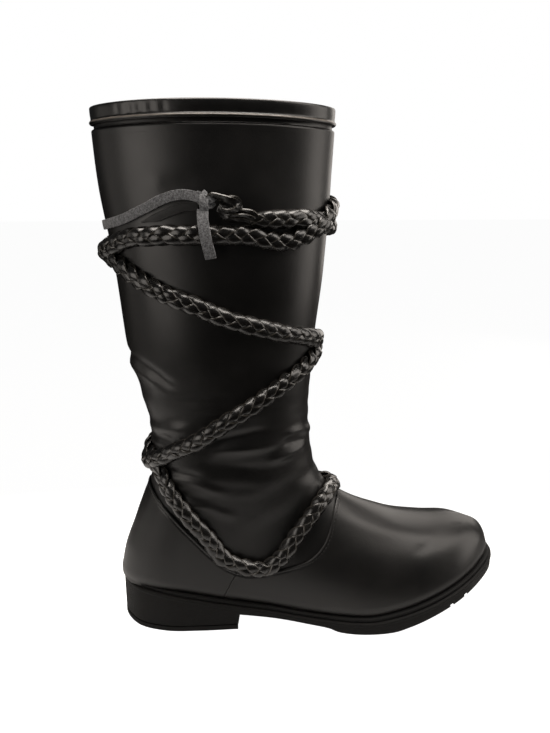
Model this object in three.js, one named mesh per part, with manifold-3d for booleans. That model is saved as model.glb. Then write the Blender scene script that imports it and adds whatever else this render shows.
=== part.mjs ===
// A calf-high leather boot of an old pattern, for the right foot, bound with a plaited leather cord.
// Millimetres. +X runs from heel to toe, +Y to the inner side of the foot, +Z up.
// The origin is the middle of the heel's flat bottom face.
import * as THREE from 'three';
import { mergeVertices } from 'three/addons/utils/BufferGeometryUtils.js';
import Module from 'manifold-3d';

const wasm = await Module();
wasm.setup();

// Driving dimensions of the sole
const SOLE_LENGTH = 302; // heel to toe
const HEEL_BACK = 38; // the origin to the back of the heel
const BALL_WIDTH = 104;
const HEEL_WIDTH = 74;
const HEEL_LENGTH = 89; // back of the heel to its breast
const BREAST_HEIGHT = 12.4;
const LIFT_THICKNESS = 4.2; // the lift under the heel
const EDGE_HEIGHT_BACK = 38; // floor to the top of the sole's edge, at the heel
const EDGE_HEIGHT_BALL = 12.6;
const EDGE_HEIGHT_TOE = 40;
const TOE_SPRING = 27; // floor to the underside of the sole's tip
const WELT_THICKNESS = 2.8;
const WELT_STEP = 1.6; // how far the welt's edge stands back from the sole's
const WELT_RING_WIDTH = 12;
const INSOLE_THICKNESS = 5;
const TREAD_DEPTH = 2.6;
const TREAD_WIDTH = 3;
const TREAD_PITCH = 13;
const TREAD_MARGIN = 6; // the sole's edge to the ends of the grooves
const LIFT_GROOVES = [-24, -12, 14, 26, 38]; // clear of the flat pad at the origin

// Driving dimensions of the upper
const FOOT_HEIGHT = 126; // floor to the narrow of the ankle, where the shaft begins
const COLLAR_HEIGHT = 382; // floor to the top edge
const HEEL_GIRTH_WIDTH = 67; // side to side over the heel's counter
const ANKLE_WIDTH = 74;
const CALF_WIDTH = 92;
const COLLAR_WIDTH = 90;
const WALL = 2.2; // leather and lining together
const OVERLAY = 1.4; // leather of the vamp and the counter
const UPPER_INSET = 4.2; // the sole's edge to the widest part of the wall
const TUCK = 2.4; // how far the wall draws in at the sole
const TUCK_HEIGHT = 9;
const BAND_HEIGHT = 13.2; // the band round the top edge
const BAND_THICKNESS = 1.3;
const BAND_RECESS = 1.9; // how far the wall steps in behind the band
const BEAD_HEIGHT = 2.4; // the raised lower edge of the band
const BEAD_EXTRA = 0.7;
const COLLAR_DIP = 2.4; // the top edge is lower at the front and the back than at the sides
const SEAM_GAP = 0.5; // between the vamp and the counter
const GAP = 0.3; // between pieces that touch

// Driving dimensions of the cord and its ties
const PLAIT_WIDTH = 12.4;
const PLAIT_THICKNESS = 6.6;
const PLAIT_CLEARANCE = 1.15; // between the shaft and the cord
const CROSSING_LIFT = 2.0; // how far the upper pass of the cord rides over the lower one
const TIE_WIDTH = 6.4;
const TIE_THICKNESS = 1.6;

// The sole's edge seen from above. x is a share of the length from the back of the heel;
// y is a share of the heel's or the ball's half width, below 0 on the outer side.
const HEEL_EDGE = [
  { x: 0.038, y: -0.62 },
  { x: 0.0, y: 0.0 },
  { x: 0.038, y: 0.64 },
  { x: 0.11, y: 0.92 },
  { x: 0.2, y: 0.99 },
];
const INNER_EDGE = [
  { x: 0.3, y: 0.66 },
  { x: 0.4, y: 0.625 },
  { x: 0.5, y: 0.72 },
  { x: 0.6, y: 0.93 },
  { x: 0.69, y: 1.02 },
  { x: 0.79, y: 1.02 },
  { x: 0.88, y: 0.945 },
  { x: 0.945, y: 0.77 },
];
const TIP_EDGE = [
  { x: 0.984, y: 0.53 },
  { x: 0.998, y: 0.22 },
  { x: 0.984, y: -0.09 },
];
const OUTER_EDGE = [
  { x: 0.94, y: -0.4 },
  { x: 0.875, y: -0.68 },
  { x: 0.79, y: -0.88 },
  { x: 0.69, y: -0.965 },
  { x: 0.6, y: -0.96 },
  { x: 0.5, y: -0.83 },
  { x: 0.4, y: -0.72 },
  { x: 0.3, y: -0.69 },
];
const OUTER_HEEL_EDGE = [
  { x: 0.2, y: -0.965 },
  { x: 0.11, y: -0.9 },
];

// The top of the sole's edge, and its underside in front of the heel, seen from the side.
// x is a share of the length; z is a share of the named height.
const EDGE_LINE = [
  { x: 0.0, z: 1.0, of: EDGE_HEIGHT_BACK },
  { x: 0.07, z: 0.955, of: EDGE_HEIGHT_BACK },
  { x: 0.17, z: 0.81, of: EDGE_HEIGHT_BACK },
  { x: 0.27, z: 0.635, of: EDGE_HEIGHT_BACK },
  { x: 0.36, z: 0.5, of: EDGE_HEIGHT_BACK },
  { x: 0.45, z: 1.14, of: EDGE_HEIGHT_BALL },
  { x: 0.54, z: 1.0, of: EDGE_HEIGHT_BALL },
  { x: 0.62, z: 1.0, of: EDGE_HEIGHT_BALL },
  { x: 0.7, z: 1.27, of: EDGE_HEIGHT_BALL },
  { x: 0.78, z: 0.55, of: EDGE_HEIGHT_TOE },
  { x: 0.87, z: 0.75, of: EDGE_HEIGHT_TOE },
  { x: 0.94, z: 0.9, of: EDGE_HEIGHT_TOE },
  { x: 1.0, z: 1.0, of: EDGE_HEIGHT_TOE },
];
const UNDERSIDE = [
  { x: 0.37, z: 0.76, of: BREAST_HEIGHT },
  { x: 0.46, z: 0.44, of: BREAST_HEIGHT },
  { x: 0.52, z: 0.24, of: BREAST_HEIGHT },
  { x: 0.56, z: 0.0, of: BREAST_HEIGHT },
  { x: 0.675, z: 0.0, of: TOE_SPRING },
  { x: 0.73, z: 0.13, of: TOE_SPRING },
  { x: 0.79, z: 0.34, of: TOE_SPRING },
  { x: 0.86, z: 0.58, of: TOE_SPRING },
  { x: 0.93, z: 0.82, of: TOE_SPRING },
  { x: 1.0, z: 1.0, of: TOE_SPRING },
];

// Sections of the upper, from the tip of the toe to the collar. Each plane holds a front point,
// on the toe, the instep or the shin, and a back point, under the sole's edge or on the heel and
// the calf. x is a share of the sole's length, z a share of the foot's or the shaft's height.
// crown is the share of the section over which the front rounds off, and full its exponent.
const FOOT_SECTIONS = [
  { frontX: 0.981, frontZ: 0.29, backX: 0.981, backZ: 0.2, crown: 0.95, full: 2.0 },
  { frontX: 0.973, frontZ: 0.395, backX: 0.966, backZ: 0.19, crown: 0.95, full: 2.1 },
  { frontX: 0.944, frontZ: 0.488, backX: 0.928, backZ: 0.15, crown: 0.94, full: 2.2 },
  { frontX: 0.886, frontZ: 0.533, backX: 0.85, backZ: 0.09, crown: 0.92, full: 2.3 },
  { frontX: 0.806, frontZ: 0.543, backX: 0.75, backZ: 0.0, crown: 0.88, full: 2.3 },
  { frontX: 0.724, frontZ: 0.578, backX: 0.62, backZ: -0.05, crown: 0.84, full: 2.2 },
  { frontX: 0.654, frontZ: 0.642, backX: 0.455, backZ: -0.03, crown: 0.78, full: 2.1 },
  { frontX: 0.601, frontZ: 0.702, backX: 0.27, backZ: 0.05, crown: 0.7, full: 2.0 },
  { frontX: 0.561, frontZ: 0.762, backX: 0.1, backZ: 0.12, crown: 0.6, full: 2.0 },
  { frontX: 0.53, frontZ: 0.835, backX: 0.008, backZ: 0.22, crown: 0.5, full: 2.0 },
  { frontX: 0.5075, frontZ: 0.918, backX: 0.0105, backZ: 0.43, crown: 0.43, full: 2.0 },
];
const SHAFT_SECTIONS = [
  { frontX: 0.491, frontZ: 0.012, backX: 0.047, backZ: -0.16, crown: 0.43, full: 2.0 },
  { frontX: 0.484, frontZ: 0.085, backX: 0.0865, backZ: -0.022, crown: 0.45, full: 2.0 },
  { frontX: 0.481, frontZ: 0.178, backX: 0.084, backZ: 0.15, crown: 0.5, full: 2.05 },
  { frontX: 0.49, frontZ: 0.345, backX: 0.045, backZ: 0.335, crown: 0.52, full: 2.1 },
  { frontX: 0.509, frontZ: 0.555, backX: 0.0255, backZ: 0.56, crown: 0.52, full: 2.15 },
  { frontX: 0.5245, frontZ: 0.8, backX: -0.003, backZ: 0.8, crown: 0.52, full: 2.2 },
  { frontX: 0.534, frontZ: 1.0, backX: -0.0135, backZ: 1.0, crown: 0.52, full: 2.2 },
];

// Half width of the shaft at a share of its height, and how far its back rounds off, as a share
// of that half width. Shares below 0 reach down into the foot.
const SHAFT_WIDTHS = [
  { z: -0.7, width: HEEL_GIRTH_WIDTH / 2, back: 1.25 },
  { z: -0.25, width: HEEL_GIRTH_WIDTH / 2, back: 1.2 },
  { z: 0.05, width: ANKLE_WIDTH / 2, back: 1.25 },
  { z: 0.25, width: (ANKLE_WIDTH + CALF_WIDTH) / 4, back: 1.4 },
  { z: 0.6, width: CALF_WIDTH / 2, back: 1.55 },
  { z: 1.0, width: COLLAR_WIDTH / 2, back: 1.7 },
  { z: 1.2, width: COLLAR_WIDTH / 2, back: 1.7 },
];

// The top line of the vamp and the counter, seen from the side, from behind the heel to above the
// instep. x is a share of the sole's length, z a share of the foot's height.
const GALOSH_LINE = [
  { x: 0.0464, z: 0.96 },
  { x: 0.076, z: 0.9 },
  { x: 0.103, z: 0.837 },
  { x: 0.142, z: 0.75 },
  { x: 0.185, z: 0.631 },
  { x: 0.225, z: 0.52 },
  { x: 0.265, z: 0.425 },
  { x: 0.305, z: 0.373 },
  { x: 0.344, z: 0.36 },
  { x: 0.384, z: 0.373 },
  { x: 0.427, z: 0.4 },
  { x: 0.4636, z: 0.4325 },
  { x: 0.49, z: 0.476 },
  { x: 0.5116, z: 0.532 },
  { x: 0.5265, z: 0.595 },
  { x: 0.537, z: 0.659 },
  { x: 0.548, z: 0.722 },
  { x: 0.563, z: 0.786 },
  { x: 0.586, z: 0.865 },
];
// The seam between the counter and the vamp, on both sides
const SIDE_SEAM = [
  { x: 0.325, z: 0.5 },
  { x: 0.295, z: 0.39 },
  { x: 0.257, z: 0.208 },
  { x: 0.235, z: 0.08 },
];

// The plaited cord, pass by pass, from the instep upwards. turn is in degrees from the front of
// the boot to its back, on the side where that pass lies, z is the height of its middle line in
// millimetres, and lift is 1 where the pass rides over another. Both halves start at the instep,
// one over the outer side and one over the inner, change sides at each crossing, and share the
// first three passes.
const CORD_LOW = [
  { turn: -8, z: 101.2 },
  { turn: 8, z: 101.3 },
  { turn: 18, z: 100.6 },
  { turn: 28, z: 97.4 },
  { turn: 36, z: 93.3 },
  { turn: 52, z: 82.3 },
  { turn: 60, z: 76 },
  { turn: 72, z: 65.8 },
  { turn: 80, z: 59.2 },
  { turn: 86, z: 54.7 },
  { turn: 92, z: 50.3 },
  { turn: 94, z: 50.8 },
  { turn: 94, z: 53.7 },
  { turn: 94, z: 58.6 },
  { turn: 94, z: 65.7 },
  { turn: 96, z: 74 },
  { turn: 102, z: 84 },
  { turn: 110, z: 92.4 },
  { turn: 118, z: 101 },
  { turn: 128, z: 109 },
  { turn: 138, z: 117.5 },
  { turn: 146, z: 125 },
];
const CORD_RISING = [
  { turn: 138, z: 143.5 },
  { turn: 120, z: 152.1 },
  { turn: 106, z: 161.1 },
  { turn: 92, z: 171 },
  { turn: 78, z: 179.7 },
  { turn: 64, z: 188.8 },
  { turn: 52, z: 195.5 },
  { turn: 40, z: 201.2 },
  { turn: 28, z: 207 },
];
const CORD_HIGH = [
  { turn: 38, z: 229 },
  { turn: 56, z: 233.3 },
  { turn: 74, z: 239.7 },
  { turn: 90, z: 246.1 },
  { turn: 104, z: 254 },
  { turn: 120, z: 261 },
  { turn: 138, z: 271 },
];
// Where each half crosses from one side to the other, and its last passes
const OUTER_FIRST = {
  sign: 1,
  ankleBack: [{ turn: 158, z: 133 }, { turn: 172, z: 137.5 }, { turn: 190, z: 139.5 }, { turn: 206, z: 141 }],
  shinFront: [{ turn: 344, z: 212.5, lift: 1 }, { turn: 352, z: 217.5, lift: 1 }, { turn: 364, z: 222 }, { turn: 380, z: 224.3 }],
  calfBack: [{ turn: 512, z: 279 }, { turn: 528, z: 284 }, { turn: 542, z: 288 }, { turn: 560, z: 291.5 }],
  last: [
    { turn: 590, z: 294 },
    { turn: 630, z: 296 },
    { turn: 670, z: 298 },
    { turn: 700, z: 300 },
    { turn: 722, z: 302 },
    { turn: 734, z: 303.5 },
    { turn: 746, z: 305 },
    { turn: 756, z: 307.6 },
    { turn: 766, z: 309.2 },
    { turn: 778, z: 309 },
    { turn: 795, z: 308.6 },
  ],
};
const INNER_FIRST = {
  sign: -1,
  ankleBack: [{ turn: 158, z: 130 }, { turn: 172, z: 131.5, lift: 0.4 }, { turn: 186, z: 132, lift: 1 }, { turn: 202, z: 134.5, lift: 1 }],
  shinFront: [{ turn: 344, z: 211.9 }, { turn: 358, z: 214 }, { turn: 370, z: 217.5 }, { turn: 382, z: 223 }],
  calfBack: [{ turn: 512, z: 277.5 }, { turn: 528, z: 281 }, { turn: 544, z: 285.5, lift: 1 }, { turn: 558, z: 289.5, lift: 1 }],
  last: [
    { turn: 570, z: 293 },
    { turn: 582, z: 296.9 },
    { turn: 604, z: 299.2 },
    { turn: 620, z: 299.4 },
    { turn: 636, z: 299.4 },
    { turn: 646, z: 298.4 },
    { turn: 656, z: 295.3 },
    { turn: 667, z: 294.8 },
    { turn: 676, z: 298, lift: 0.4 },
    { turn: 684, z: 302.2, lift: 1 },
    { turn: 693, z: 307.5, lift: 1 },
    { turn: 706, z: 313.8, lift: 0.3 },
    { turn: 722, z: 316.5 },
    { turn: 744, z: 317.5 },
    { turn: 768, z: 316 },
    { turn: 795, z: 314 },
  ],
};

// The ties at the ends of the cord: turn and z as above, through the outer side, and rise is
// the millimetres between the tie and the leather.
const SUEDE_TIE = [
  { turn: 99.5, z: 323.6, rise: 2.4 },
  { turn: 106, z: 324.6, rise: 1.8 },
  { turn: 114, z: 322, rise: 2.2 },
  { turn: 124, z: 316.4, rise: 1.8 },
  { turn: 138, z: 310, rise: 1.1 },
  { turn: 150, z: 306.8, rise: 0.5 },
  { turn: 168, z: 304.5, rise: 0.4 },
  { turn: 190, z: 303.5, rise: 0.4 },
  { turn: 215, z: 304.5, rise: 0.6 },
  { turn: 240, z: 308, rise: 0.6 },
  { turn: 262, z: 312, rise: 1.4 },
  { turn: 284.4, z: 314, rise: 3 },
];
const SMOOTH_TIE = [
  { turn: 98.5, z: 316.9, rise: 1 },
  { turn: 104, z: 317.2, rise: 0.7 },
  { turn: 110, z: 314.9, rise: 0.7 },
  { turn: 118, z: 311, rise: 0.6 },
  { turn: 128, z: 307.3, rise: 0.5 },
];
const SUEDE_TAIL = [
  { turn: 96.2, z: 315.4, rise: 4.4 },
  { turn: 96.4, z: 310, rise: 6.8 },
  { turn: 96, z: 303, rise: 8.4 },
  { turn: 95.4, z: 296, rise: 8.4 },
  { turn: 94.4, z: 289, rise: 7.4 },
  { turn: 94, z: 285.2, rise: 6.4 },
];
// The loose strips that run from the end of the plait to the smooth knot
const LOOSE_STRIPS = [
  { turn: 77.6, z: 311.2, rise: 2.2 },
  { turn: 79.5, z: 313.4, rise: 2.8 },
  { turn: 82, z: 316.4, rise: 2.6 },
  { turn: 84.5, z: 318.5, rise: 2.4 },
];
const BRIDGE_STRIP = [
  { turn: 80, z: 320, rise: 2.6 },
  { turn: 84, z: 322, rise: 2.4 },
  { turn: 90.2, z: 323.2, rise: 2.4 },
];
const SUEDE_KNOT = { turn: 94.4, z: 320.6, rise: 0.6, length: 10.5, width: 8.6, thickness: 7.2 };
const SMOOTH_KNOT = { turn: 83, z: 318.6, rise: 0.8, length: 16.5, width: 11, thickness: 7.4 };

const ORIGIN_X = -HEEL_BACK;
const SHAFT_HEIGHT = COLLAR_HEIGHT - FOOT_HEIGHT;

/** Length along the boot at a share of the sole's length. */
function alongX(share) {
  return ORIGIN_X + share * SOLE_LENGTH;
}

/** A smooth curve through the rows of a table, which never overshoots them. */
function smoothTable(rows, at, value) {
  const last = rows.length - 1;
  const slope = (i) => (value(rows[i + 1]) - value(rows[i])) / (at(rows[i + 1]) - at(rows[i]));
  const tangents = rows.map((row, i) => {
    if (i === 0) return slope(0);
    if (i === last) return slope(last - 1);
    const [before, after] = [slope(i - 1), slope(i)];
    return before * after <= 0 ? 0 : (2 * before * after) / (before + after);
  });
  return (x) => {
    if (x <= at(rows[0])) return value(rows[0]);
    if (x >= at(rows[last])) return value(rows[last]);
    const i = rows.findIndex((row, k) => k < last && x < at(rows[k + 1]));
    const span = at(rows[i + 1]) - at(rows[i]);
    const t = (x - at(rows[i])) / span;
    const [t2, t3] = [t * t, t * t * t];
    return (2 * t3 - 3 * t2 + 1) * value(rows[i]) + (t3 - 2 * t2 + t) * span * tangents[i]
      + (3 * t2 - 2 * t3) * value(rows[i + 1]) + (t3 - t2) * span * tangents[i + 1];
  };
}

const smoothStep = (low, high, x) => THREE.MathUtils.smoothstep(x, low, high);

const edgeTop = smoothTable(EDGE_LINE, (row) => alongX(row.x), (row) => row.z * row.of);
const shaftHalfWidth = smoothTable(SHAFT_WIDTHS, (row) => row.z, (row) => row.width);
const backRounding = smoothTable(SHAFT_WIDTHS, (row) => row.z, (row) => row.width * row.back);

/** The sole's edge seen from above, moved inwards by inset. */
function soleOutline(inset = 0, points = 60) {
  const place = (width) => (row) => new THREE.Vector3(alongX(row.x), (row.y * width) / 2, 0);
  const curve = new THREE.CatmullRomCurve3([
    ...HEEL_EDGE.map(place(HEEL_WIDTH)),
    ...INNER_EDGE.map(place(BALL_WIDTH)),
    ...TIP_EDGE.map(place(BALL_WIDTH)),
    ...OUTER_EDGE.map(place(BALL_WIDTH)),
    ...OUTER_HEEL_EDGE.map(place(HEEL_WIDTH)),
  ], true, 'centripetal');
  return curve.getSpacedPoints(points).slice(0, points).map((p, i) => {
    const tangent = curve.getTangentAt(i / points);
    return new THREE.Vector2(p.x + tangent.y * inset, p.y - tangent.x * inset);
  });
}

/** How far the upper reaches to each side at a length x, read from the sole's edge. */
function planReach() {
  const outline = soleOutline(UPPER_INSET, 160);
  const tip = outline.reduce((a, b) => (b.x > a.x ? b : a));
  const side = (sign) => outline.filter((p) => (p.y - tip.y * smoothStep(alongX(0.4), tip.x, p.x)) * sign >= 0)
    .sort((a, b) => a.x - b.x);
  const reach = (points) => smoothTable(points, (p) => p.x, (p) => p.y);
  const [outer, inner] = [reach(side(-1)), reach(side(1))];
  const heelWidest = alongX(0.15);
  return {
    outer: (x) => outer(Math.max(x, heelWidest)),
    inner: (x) => inner(Math.max(x, heelWidest)),
    tip,
  };
}

const plan = planReach();
/** The middle line of the upper, which swings to the inner side towards the toe. */
const middleLine = (x) => plan.tip.y * smoothStep(alongX(0.35), alongX(1), x);

/** The front and back points of the sections, as two smooth curves on one parameter. */
function sectionCurves() {
  const rows = [
    ...FOOT_SECTIONS.map((row) => ({ ...row, base: 0, height: FOOT_HEIGHT })),
    ...SHAFT_SECTIONS.map((row) => ({ ...row, base: FOOT_HEIGHT, height: SHAFT_HEIGHT })),
  ];
  const curve = (end) => new THREE.SplineCurve(rows.map((row) => new THREE.Vector2(
    alongX(row[`${end}X`]), row.base + row[`${end}Z`] * row.height)));
  const column = (name) => smoothTable(rows.map((row, i) => ({ at: i / (rows.length - 1), value: row[name] })),
    (row) => row.at, (row) => row.value);
  return { front: curve('front'), back: curve('back'), crown: column('crown'), full: column('full') };
}

const sections = sectionCurves();

/** The line of the heel and the calf: how far back the upper reaches at a height z. */
const backLine = (() => {
  const heelRow = FOOT_SECTIONS.length - 2;
  const count = FOOT_SECTIONS.length + SHAFT_SECTIONS.length - 1;
  const rows = [];
  for (let i = heelRow * 4; i <= count * 4; i += 1) rows.push(sections.back.getPoint(i / 4 / count));
  const rising = rows.filter((p, i) => i === 0 || p.y > Math.max(...rows.slice(0, i).map((r) => r.y)));
  return smoothTable(rising, (p) => p.y, (p) => p.x);
})();

const RING_POINTS = 24;
const FOOT_RINGS = 19;
const SHAFT_RINGS = 9;
const BAND_STEP = COLLAR_HEIGHT - BAND_HEIGHT - GAP; // where the wall steps in behind the band

/** Rounds off an end: 0 at the end itself, 1 from the distance length on. */
function roundEnd(distance, length, power) {
  const q = THREE.MathUtils.clamp(distance / length, 0, 1);
  return (1 - (1 - q) ** power) ** (1 / power);
}

/** How far the upper reaches from its middle line at a place on one side, before any offset. */
function sideReach(side, x, z, toFront, crownLength, full) {
  const shaftShare = (z - FOOT_HEIGHT) / SHAFT_HEIGHT;
  const intoShaft = smoothStep(FOOT_HEIGHT * 0.42, FOOT_HEIGHT * 1.02, z)
    * (1 - smoothStep(alongX(0.56), alongX(0.72), x));
  const foot = Math.abs((side < 0 ? plan.outer(x) : plan.inner(x)) - middleLine(x));
  const widest = THREE.MathUtils.lerp(foot, shaftHalfWidth(shaftShare), intoShaft);
  const back = roundEnd(x - backLine(z), backRounding(shaftShare), 2);
  const tuck = TUCK * (1 - THREE.MathUtils.clamp((z - edgeTop(x)) / TUCK_HEIGHT, 0, 1)) ** 2;
  return Math.max(widest * back * roundEnd(toFront, crownLength, full) - tuck * back, 0);
}

/** How far the wall steps in at a height z, behind the band at the collar. */
function bandRecess(z) {
  return BAND_RECESS * smoothStep(BAND_STEP - 1.5, BAND_STEP, z);
}

/**
 * A place on the upper at the parameter at, from 0 at the toe to 1 at the collar, offset outwards.
 * turn is in radians round the section from its front, through the outer side.
 */
function place(at, turn, offset) {
  const t = Math.min(at, 1);
  const outwards = (curve, sign) => {
    const tangent = curve.getTangent(t);
    return new THREE.Vector2(tangent.y, -tangent.x).multiplyScalar(sign);
  };
  const [front, back] = [sections.front.getPoint(t), sections.back.getPoint(t)];
  const grow = offset - bandRecess(front.y);
  const frontTo = front.clone().addScaledVector(outwards(sections.front, 1), grow);
  const backTo = back.clone().addScaledVector(outwards(sections.back, -1), grow);
  const length = front.distanceTo(back);
  const share = (1 + Math.cos(turn)) / 2;
  const side = Math.sin(turn) < 0 ? 1 : -1;
  const on = back.clone().lerp(front, share);
  const moved = backTo.lerp(frontTo, share);
  const reach = sideReach(side, on.x, on.y, (1 - share) * length, sections.crown(t) * length, sections.full(t));
  const widest = Math.max(Math.abs((side < 0 ? plan.outer : plan.inner)(on.x)), COLLAR_WIDTH / 4);
  const dip = COLLAR_DIP * smoothStep(0.75, 1, t) * Math.cos(turn) ** 2;
  return new THREE.Vector3(
    moved.x,
    middleLine(on.x) * (1 - smoothStep(60, FOOT_HEIGHT, on.y)) + side * reach * (1 + grow / widest),
    moved.y - dip + (at - t) * COLLAR_HEIGHT,
  );
}

/** The parameter at which the upper's surface reaches a height z, at a turn round the shaft. */
function placeOfHeight(z, turn, offset = 0) {
  let [low, high] = [0.3, 1];
  for (let i = 0; i < 30; i += 1) {
    const middle = (low + high) / 2;
    if (place(middle, turn, offset).z < z) low = middle;
    else high = middle;
  }
  return (low + high) / 2;
}

/** One section of the upper as a ring of points. */
function sectionRing(at, offset) {
  return Array.from({ length: RING_POINTS }, (_, i) => place(at, (2 * Math.PI * i) / RING_POINTS, offset));
}

/** A closed body through rings of points, with flat ends. Each facet follows the guide's shorter diagonal. */
function loftGeometry(rings, guide = rings) {
  const size = rings[0].length;
  const positions = rings.flat().flatMap((p) => [p.x, p.y, p.z]);
  const index = [];
  for (let r = 0; r < rings.length - 1; r += 1) {
    for (let i = 0; i < size; i += 1) {
      const next = (i + 1) % size;
      const [a, b, c, d] = [r * size + i, r * size + next, (r + 1) * size + i, (r + 1) * size + next];
      const across = guide[r][i].distanceTo(guide[r + 1][next]);
      if (across < guide[r][next].distanceTo(guide[r + 1][i])) index.push(a, d, b, a, c, d);
      else index.push(a, c, b, b, c, d);
    }
  }
  for (const [ring, flip] of [[0, false], [rings.length - 1, true]]) {
    const centre = rings[ring].reduce((sum, p) => sum.add(p), new THREE.Vector3()).divideScalar(size);
    const middle = positions.length / 3;
    positions.push(centre.x, centre.y, centre.z);
    for (let i = 0; i < size; i += 1) {
      const [a, b] = [ring * size + i, ring * size + ((i + 1) % size)];
      index.push(...(flip ? [middle, b, a] : [middle, a, b]));
    }
  }
  const geometry = new THREE.BufferGeometry();
  geometry.setAttribute('position', new THREE.Float32BufferAttribute(positions, 3));
  geometry.setIndex(index);
  return geometry;
}

/** A solid that can be joined and cut, from a closed geometry. */
function solid(geometry) {
  const bare = geometry.clone();
  bare.deleteAttribute('normal');
  bare.deleteAttribute('uv');
  const merged = mergeVertices(bare, 1e-4);
  return new wasm.Manifold(new wasm.Mesh({
    numProp: 3,
    vertProperties: new Float32Array(merged.attributes.position.array),
    triVerts: new Uint32Array(merged.index.array),
  }));
}

/** The geometry of a cut or joined solid. */
function geometryOf(manifold) {
  const mesh = manifold.getMesh();
  const geometry = new THREE.BufferGeometry();
  geometry.setAttribute('position', new THREE.BufferAttribute(new Float32Array(mesh.vertProperties), 3));
  geometry.setIndex(new THREE.BufferAttribute(new Uint32Array(mesh.triVerts), 1));
  return geometry;
}

/** A flat outline in x and z, given a thickness across the whole boot. */
function sideSlab(points, halfDepth = 120) {
  const geometry = new THREE.ExtrudeGeometry(new THREE.Shape(points), {
    depth: 2 * halfDepth, bevelEnabled: false, steps: 1,
  });
  return solid(geometry.translate(0, 0, -halfDepth).rotateX(Math.PI / 2));
}

/** A flat outline in x and y, standing from the floor to a height. */
function planSlab(points, height = 90) {
  return solid(new THREE.ExtrudeGeometry(new THREE.Shape(points), {
    depth: height, bevelEnabled: false, steps: 1,
  }));
}

/** Points along the top of the sole's edge, raised by lift. */
function edgePoints(lift, steps = 30) {
  return Array.from({ length: steps + 1 }, (_, i) => {
    const x = alongX(-0.12 + (1.24 * i) / steps);
    return new THREE.Vector2(x, edgeTop(x) + lift);
  });
}

/** Everything below the top of the sole's edge, raised by lift. */
function belowEdge(lift) {
  const far = 60;
  return sideSlab([
    new THREE.Vector2(alongX(-0.12), -far), new THREE.Vector2(alongX(1.12), -far),
    ...edgePoints(lift).reverse(),
  ]);
}

/** Where the rings of a form lie: close on the foot, wide on the shaft, with two at the band's step. */
function ringPlaces(from, to) {
  const foot = (FOOT_SECTIONS.length - 1) / (FOOT_SECTIONS.length + SHAFT_SECTIONS.length - 1);
  const even = (low, high, count) => Array.from({ length: count }, (_, i) => low + ((high - low) * i) / count);
  const rings = [...even(0, foot, FOOT_RINGS), ...even(foot, 1, SHAFT_RINGS), 1];
  const steps = [BAND_STEP - 1.5, BAND_STEP].map((z) => placeOfHeight(z, 0));
  return [...rings, ...steps, from, to].filter((at) => at >= from && at <= to)
    .sort((a, b) => a - b)
    .filter((at, i, all) => i === 0 || at - all[i - 1] > 1e-4);
}

/** The whole form of the upper, offset outwards, between two of its sections. */
function upperForm(offset, { from = 0, to = 1, past = 0 } = {}) {
  const rings = ringPlaces(from, to);
  if (past > 0) rings.push(1 + past / COLLAR_HEIGHT);
  return solid(loftGeometry(rings.map((at) => sectionRing(at, offset)), rings.map((at) => sectionRing(at, 0))));
}

function makeUpper() {
  return upperForm(0).subtract(upperForm(-WALL, { past: 20 })).subtract(belowEdge(GAP));
}

/** Everything under a line drawn in the side view, cut off at a second line at its back or front. */
function sideCurve(rows, points) {
  const curve = new THREE.SplineCurve(rows.map((row) => new THREE.Vector2(
    alongX(row.x), row.z * FOOT_HEIGHT)));
  return curve.getSpacedPoints(points);
}

/** The vamp and the counter: one skin over the foot, below the galosh line, cut at the side seams. */
function makeGalosh() {
  const top = sideCurve(GALOSH_LINE, 44);
  const far = 60;
  const below = sideSlab([
    new THREE.Vector2(alongX(-0.3), -far), new THREE.Vector2(alongX(1.2), -far),
    new THREE.Vector2(alongX(1.2), FOOT_HEIGHT), ...top.slice().reverse(),
    new THREE.Vector2(alongX(-0.3), FOOT_HEIGHT * 1.03),
  ]);
  const skin = upperForm(GAP + OVERLAY).intersect(below)
    .subtract(upperForm(GAP, { past: 20 }))
    .subtract(belowEdge(GAP));
  const seam = sideCurve(SIDE_SEAM, 6);
  const seamAway = (shift) => seam.map((p) => new THREE.Vector2(p.x + shift, p.y));
  const behind = (shift) => sideSlab([
    new THREE.Vector2(alongX(-0.4), -far), new THREE.Vector2(seam[6].x + shift, -far),
    ...seamAway(shift).reverse(), new THREE.Vector2(seam[0].x + shift, 2 * FOOT_HEIGHT),
    new THREE.Vector2(alongX(-0.4), 2 * FOOT_HEIGHT),
  ]);
  return {
    vamp: skin.subtract(behind(SEAM_GAP / 2)),
    counter: skin.intersect(behind(-SEAM_GAP / 2)),
  };
}

/** The band round the top edge, with a raised bead along its lower edge. */
function makeBand() {
  const from = placeOfHeight(COLLAR_HEIGHT - BAND_HEIGHT, 0);
  const beadTop = placeOfHeight(COLLAR_HEIGHT - BAND_HEIGHT + BEAD_HEIGHT, 0);
  return upperForm(GAP + BAND_THICKNESS, { from })
    .add(upperForm(GAP + BAND_THICKNESS + BEAD_EXTRA, { from, to: beadTop }))
    .subtract(upperForm(GAP, { from: placeOfHeight(COLLAR_HEIGHT - 2 * BAND_HEIGHT, 0), past: 20 }));
}

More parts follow.
